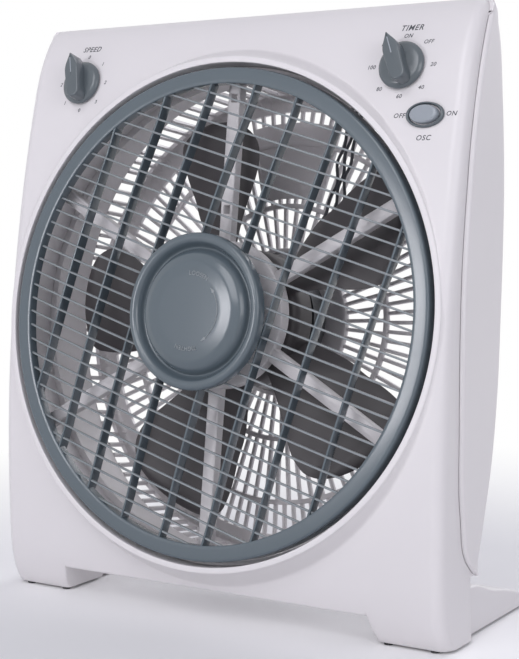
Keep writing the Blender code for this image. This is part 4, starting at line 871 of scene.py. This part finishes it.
# The grip is a long block, a little narrower at its tail, with a pointed nose beyond the base.
knob = {
    "skirt": ((0, 0.0009), (0.0165, 0.0009), (0.0165, 0.0030), (0.0143, 0.005), (0.0105, 0.0057),
              (0, 0.0062)),
    "skirtCorners": (0, 0.0003, 0.0006, 0.0012, 0.002, 0), "low": 0.0012, "height": 0.015, "edge": 0.0011,
    "grip": ((0.003025, -0.015345), (0.0055, -0.012375), (0.00605, 0.0099), (0, 0.021)),
    "gripCorners": (0.002, 0.003, 0.004, 0.0012, 0.004, 0.003, 0.002),
    "line": (-0.0004, 0.0004, 0.004, 0.0165),
}


def makeKnob(name, place, degrees):
    place = turnedPlace(place, math.radians(degrees))
    outline = list(knob["grip"]) + [(-x, y) for x, y in reversed(knob["grip"][:-1])]
    grip = block(rounded(outline, knob["gripCorners"], 5, True), knob["low"], knob["height"], knob["edge"], 4)
    skirt = rounded(knob["skirt"], knob["skirtCorners"], 4)
    patches = [turned(place, skirt, 96), (onPlace(place, grip), True)]
    makePiece(name + "Knob", patches, "knobAbs", name, [name + "_knob"])
    # a fine raised line on the grip's top points to the mark
    line = block(rounded(rectangle(*knob["line"]), 0.0003, 2, True), knob["height"] - 0.0004,
                 knob["height"] + 0.0002, 0.00015, 2)
    makePiece(name + "Pointer", [(onPlace(place, line), True)], "buttonAbs", name, [], 40)


# The button's rows are (share of its width, height).
switch = {
    "bezel": (0.0140, 0.0088), "seat": 0.0005, "stand": 0.0025, "button": (0.0105, 0.0062), "gap": 0.0008,
    "rows": ((1, -0.0035), (1, 0.0031), (0.97, 0.0039), (0.90, 0.0044), (0.75, 0.0045), (0.4, 0.0044),
             (0.1, 0.0043)),
    "rest": math.radians(6),
}


def makeSwitch():
    # the bezel is an oval ring, out = seat + rise sin(pi t)^0.45, with t from its rim to the button
    wide, tall = switch["button"]
    t = np.linspace(0, 1, 9)[:, None]
    angle = np.linspace(0, 2 * math.pi, 96, endpoint=False)
    out = switch["seat"] + (switch["stand"] - switch["seat"]) * np.sin(math.pi * t) ** 0.45
    x, y = ((outer + (inner + switch["gap"] - outer) * t) * circle for outer, inner, circle in
            zip(switch["bezel"], switch["button"], (np.cos(angle), np.sin(angle))))
    top = toWorld(switchPlace, x, y, out + 0 * x)
    makePiece("switchBezel", [(np.concatenate([top, top[:1]]), True)], "knobAbs", "base", ["rocker_bezel"])
    rest, right, out = switch["rest"], switchPlace["right"], switchPlace["out"]
    tilted = {**switchPlace, "right": math.cos(rest) * right + math.sin(rest) * out,
              "out": math.cos(rest) * out - math.sin(rest) * right}
    share, out = np.array(switch["rows"]).T[:, :, None]
    grid = toWorld(tilted, share * wide * np.cos(angle), share * tall * np.sin(angle), out)
    makePiece("switchButton", [(closedEnds(grid), True)], "buttonAbs", "rocker", ["rocker_button"])


# Marks stand round each knob, 45 degrees apart from straight up; words are text, size, boldness and place.
lettering = {
    "marks": 0.0213, "markSize": 0.00391, "wider": 0.0012, "shear": 0.25, "ink": 0.00009, "proud": 0.00006,
    "squash": 0.95, "speed": "01230123", "timer": ("ON", "OFF", "20", "40", "60", "80", "100", "120"),
    "words": (("SPEED", 0.0056, 0.00008, (-0.136, 0.4113)), ("TIMER", 0.0056, 0.00008, (0.138, 0.4108)),
              ("OFF", 0.00448, 0.00006, (0.1385, 0.352)), ("ON", 0.00448, 0.00006, (0.1765, 0.3524)),
              ("OSC", 0.00504, 0.00006, (0.158, 0.337))),
}


def onFace(points, spot):
    # a flat outline laid on the face: x stays across, y goes up the face
    x = spot[0] + points[:, 0]
    z = spot[1] + points[:, 1] * lettering["squash"]
    return np.stack([x, frontY(x, z) - lettering["proud"], z], 1)


def makeLettering():
    words = []
    for place, dial in ((speedPlace, "speed"), (timerPlace, "timer")):
        x, _, z = place["at"]
        for k, mark in enumerate(lettering[dial]):
            angle = math.radians(45) * k
            radius = lettering["marks"] + lettering["wider"] * (len(mark) - 1) * abs(math.sin(angle))
            spot = (x + radius * math.sin(angle), z + radius * math.cos(angle) * lettering["squash"])
            words.append((textMesh(mark, lettering["markSize"], 0.00005, lettering["shear"], 1.1), spot))
    for text, size, bold, spot in lettering["words"]:
        words.append((textMesh(text, size, bold, lettering["shear"], 1.15), spot))
    raisedWords("faceLettering", words, onFace, lettering["ink"], "printInk", "base")


makeKnob("speed", speedPlace, 16)
makeKnob("timer", timerPlace, 24)
makeSwitch()
makeLettering()
print("controls and lettering made")

# Feet, studs and wires

foot = {
    "x": (0.137, 0.181), "rear": 0.142, "clearance": 0.0012, "rounding": 0.0025,
    "top": ((0, 0.0345), (0.06, 0.0350), (0.44, 0.0245), (0.765, 0.0165), (0.88, 0.0125), (0.96, 0.0070),
            (1, 0.0038)),
    "studs": (("inner", 0.140, 0.006), ("outer", 0.175, 0.006), ("rear", 0.159, 0.128)), "studRadius": 0.0035,
}


def makeFeet():
    # a rounded section, x by z, carried from the back wall to the tip: y = front(z) + (rear - front(z)) s
    base = housing["base"]
    stations = np.concatenate([np.linspace(0, 0.9, 19), onwards(0.9, 1, 11)])
    radius, studTop = foot["studRadius"], base - 0.0003
    stud = rounded([(0, 0), (radius * 0.85, 0), (radius, studTop), (0, studTop)], (0, 0.0004, 0.0003, 0), 3)
    for side, tag in ((-1, "left"), (1, "right")):
        low, high = sorted(side * x for x in foot["x"])
        rows = []
        for share, top in zip(stations, curveThrough(foot["top"], stations)):
            edge = min(foot["rounding"], 0.4 * (top - base))
            line = rounded(rectangle(low, high, base, top), (0.0006, 0.0006, edge, edge), 5, True)
            front = backY(line[:, 1]) + foot["clearance"]
            rows.append(np.stack([line[:, 0], front + (ringY + foot["rear"] - front) * share, line[:, 1]], 1))
        makePiece(tag + "Foot", [(closedEnds(np.array(rows)), True)], "whiteAbs", "base", ["foot_" + tag], 40)
        spots = [placeOf((side * x, ringY + y, 0), (0, 0, 1)) for _, x, y in foot["studs"]]
        nodes = [f"stud_{tag}_{name}" for name, _, _ in foot["studs"]]
        makePiece(tag + "Studs", [turned(spot, stud, 32) for spot in spots], "studRubber", "base", nodes)


wires = {
    "radius": 0.0012, "count": 3, "spacing": 0.0045, "angle": math.radians(62), "wave": 0.0016,
    "ripple": 0.0045,
    "path": ((0.0455, 0.081), (0.070, 0.086), (0.105, 0.086), (0.1275, 0.073), (0.150, 0.063), (0.166, 0.055),
             (0.1735, 0.0525), (0.1845, 0.0525)),
}


def makeWires():
    # the motor's leads lie along the guard and out through the well, waving a little sideways
    place = turnedPlace(fanPlace, wires["angle"])
    path = np.array(wires["path"])
    radius = np.linspace(path[0, 0], path[-1, 0], 60)
    envelope = np.sin(math.pi * (radius - path[0, 0]) / (path[-1, 0] - path[0, 0])) ** 2
    for k in range(wires["count"]):
        aside = (k - (wires["count"] - 1) / 2) * wires["spacing"]
        wave = wires["wave"] * envelope * np.sin(radius / wires["ripple"] + 2.1 * k)
        points = toWorld(place, radius, aside + wave, -curveThrough(path, radius))
        patches = [tube(points, wires["radius"])]
        makePiece(f"motorWire{k + 1}", patches, "wirePvc", "base", [f"motor_wire_{k + 1}"], 60)


makeFeet()
makeWires()
print("feet, studs and wires made")

# Camera, floor and light

view = {"lens": 84.278, "at": (0.61995, -0.942994, 0.31314), "around": math.radians(33.04),
        "down": math.radians(5.65), "roll": math.radians(-0.73)}
# Lamps are name, place, width and watts; all are a third taller than wide and look at the body's middle.
studio = {
    "floor": "f4f4f4", "reach": 30.0, "fade": (0.25, 0.7), "world": "f1f1ff", "strength": 0.4,
    "lamp": "fbfaff", "tall": 1.3, "aim": (0, 0, 0.2),
    "lamps": (("key", (0.25, -2.3, 2.0), 1.4, 30), ("window", (-0.74, -1.81, 0.56), 0.34, 6),
              ("side", (1.9, -1.0, 0.9), 0.9, 9), ("back", (0.3, 1.8, 1.4), 1.2, 22)),
}


def makeCamera():
    lens = bpy.data.cameras.new("camera")
    lens.lens = view["lens"]
    lens.sensor_width = 36
    camera = addObject("camera", lens)
    around, down, turn = view["around"], view["down"], view["roll"]
    back = np.array([math.sin(around) * math.cos(down), -math.cos(around) * math.cos(down), math.sin(down)])
    right = np.array([math.cos(around), math.sin(around), 0])
    up = np.cross(back, right)
    axes = (math.cos(turn) * right + math.sin(turn) * up, -math.sin(turn) * right + math.cos(turn) * up, back)
    matrix = np.eye(4)
    matrix[:3, :3] = np.array(axes).T
    matrix[:3, 3] = view["at"]
    camera.matrix_world = Matrix(matrix.tolist())
    bpy.context.scene.camera = camera


def seenWhite(tree):
    # 1 for the rays that show the background: straight from the camera, mirrored or let through
    seen = addNode(tree, "LightPath").outputs
    share = seen["Is Camera Ray"]
    for ray in ("Is Glossy Ray", "Is Transmission Ray"):
        share = addNode(tree, "Math", {"operation": "MAXIMUM"}, {0: share, 1: seen[ray]}).outputs[0]
    return share


def showWhite(tree, share, shader, white, output):
    mixed = addNode(tree, "MixShader", {}, {0: share, 1: shader.outputs[0], 2: white.outputs[0]})
    tree.links.new(mixed.outputs["Shader"], tree.nodes[output].inputs["Surface"])


def makeFloor():
    # pale matte floor that keeps the shadow near the object and runs into the white beyond
    mesh = bpy.data.meshes.new("floor")
    reach = studio["reach"]
    mesh.from_pydata([(x, y, 0) for x, y in rectangle(-reach, reach, -reach, reach)], [], [(0, 1, 2, 3)])
    floor = addObject("floor", mesh)
    settings = {"Roughness": 0.9, "Base Color": linear(studio["floor"])}
    made, tree, shader, spot = newMaterial("paleFloor", settings)
    distance = addNode(tree, "VectorMath", {"operation": "LENGTH"}, {0: spot})
    fade = addNode(tree, "MapRange", dict(zip(("From Min", "From Max"), studio["fade"])),
                   {"Value": distance.outputs["Value"]})
    share = addNode(tree, "Math", {"operation": "MULTIPLY"}, {0: fade.outputs["Result"], 1: seenWhite(tree)})
    white = addNode(tree, "Emission", {"Strength": 1.0})
    showWhite(tree, share.outputs[0], shader, white, "Material Output")
    floor.data.materials.append(made)


def makeLights():
    world = bpy.data.worlds.new("studio")
    bpy.context.scene.world = world
    world.use_nodes = True
    tree = world.node_tree
    background = tree.nodes["Background"]
    background.inputs["Color"].default_value = linear(studio["world"])
    background.inputs["Strength"].default_value = studio["strength"]
    plain = addNode(tree, "Background", {"Color": linear("ffffff"), "Strength": 1.0})
    showWhite(tree, seenWhite(tree), background, plain, "World Output")
    for name, at, size, power in studio["lamps"]:
        lamp = bpy.data.lights.new(name, "AREA")
        lamp.shape = "RECTANGLE"
        lamp.size = size
        lamp.size_y = size * studio["tall"]
        lamp.energy = power
        lamp.color = linear(studio["lamp"])[:3]
        holder = addObject(name, lamp)
        x, y, z = np.array(studio["aim"]) - np.array(at)
        holder.location = at
        holder.rotation_euler = (math.atan2(math.hypot(x, y), -z), 0, math.atan2(-x, y))


makeCamera()
makeFloor()
makeLights()
bpy.context.scene.view_settings.view_transform = "Standard"
print("camera, floor and light made")
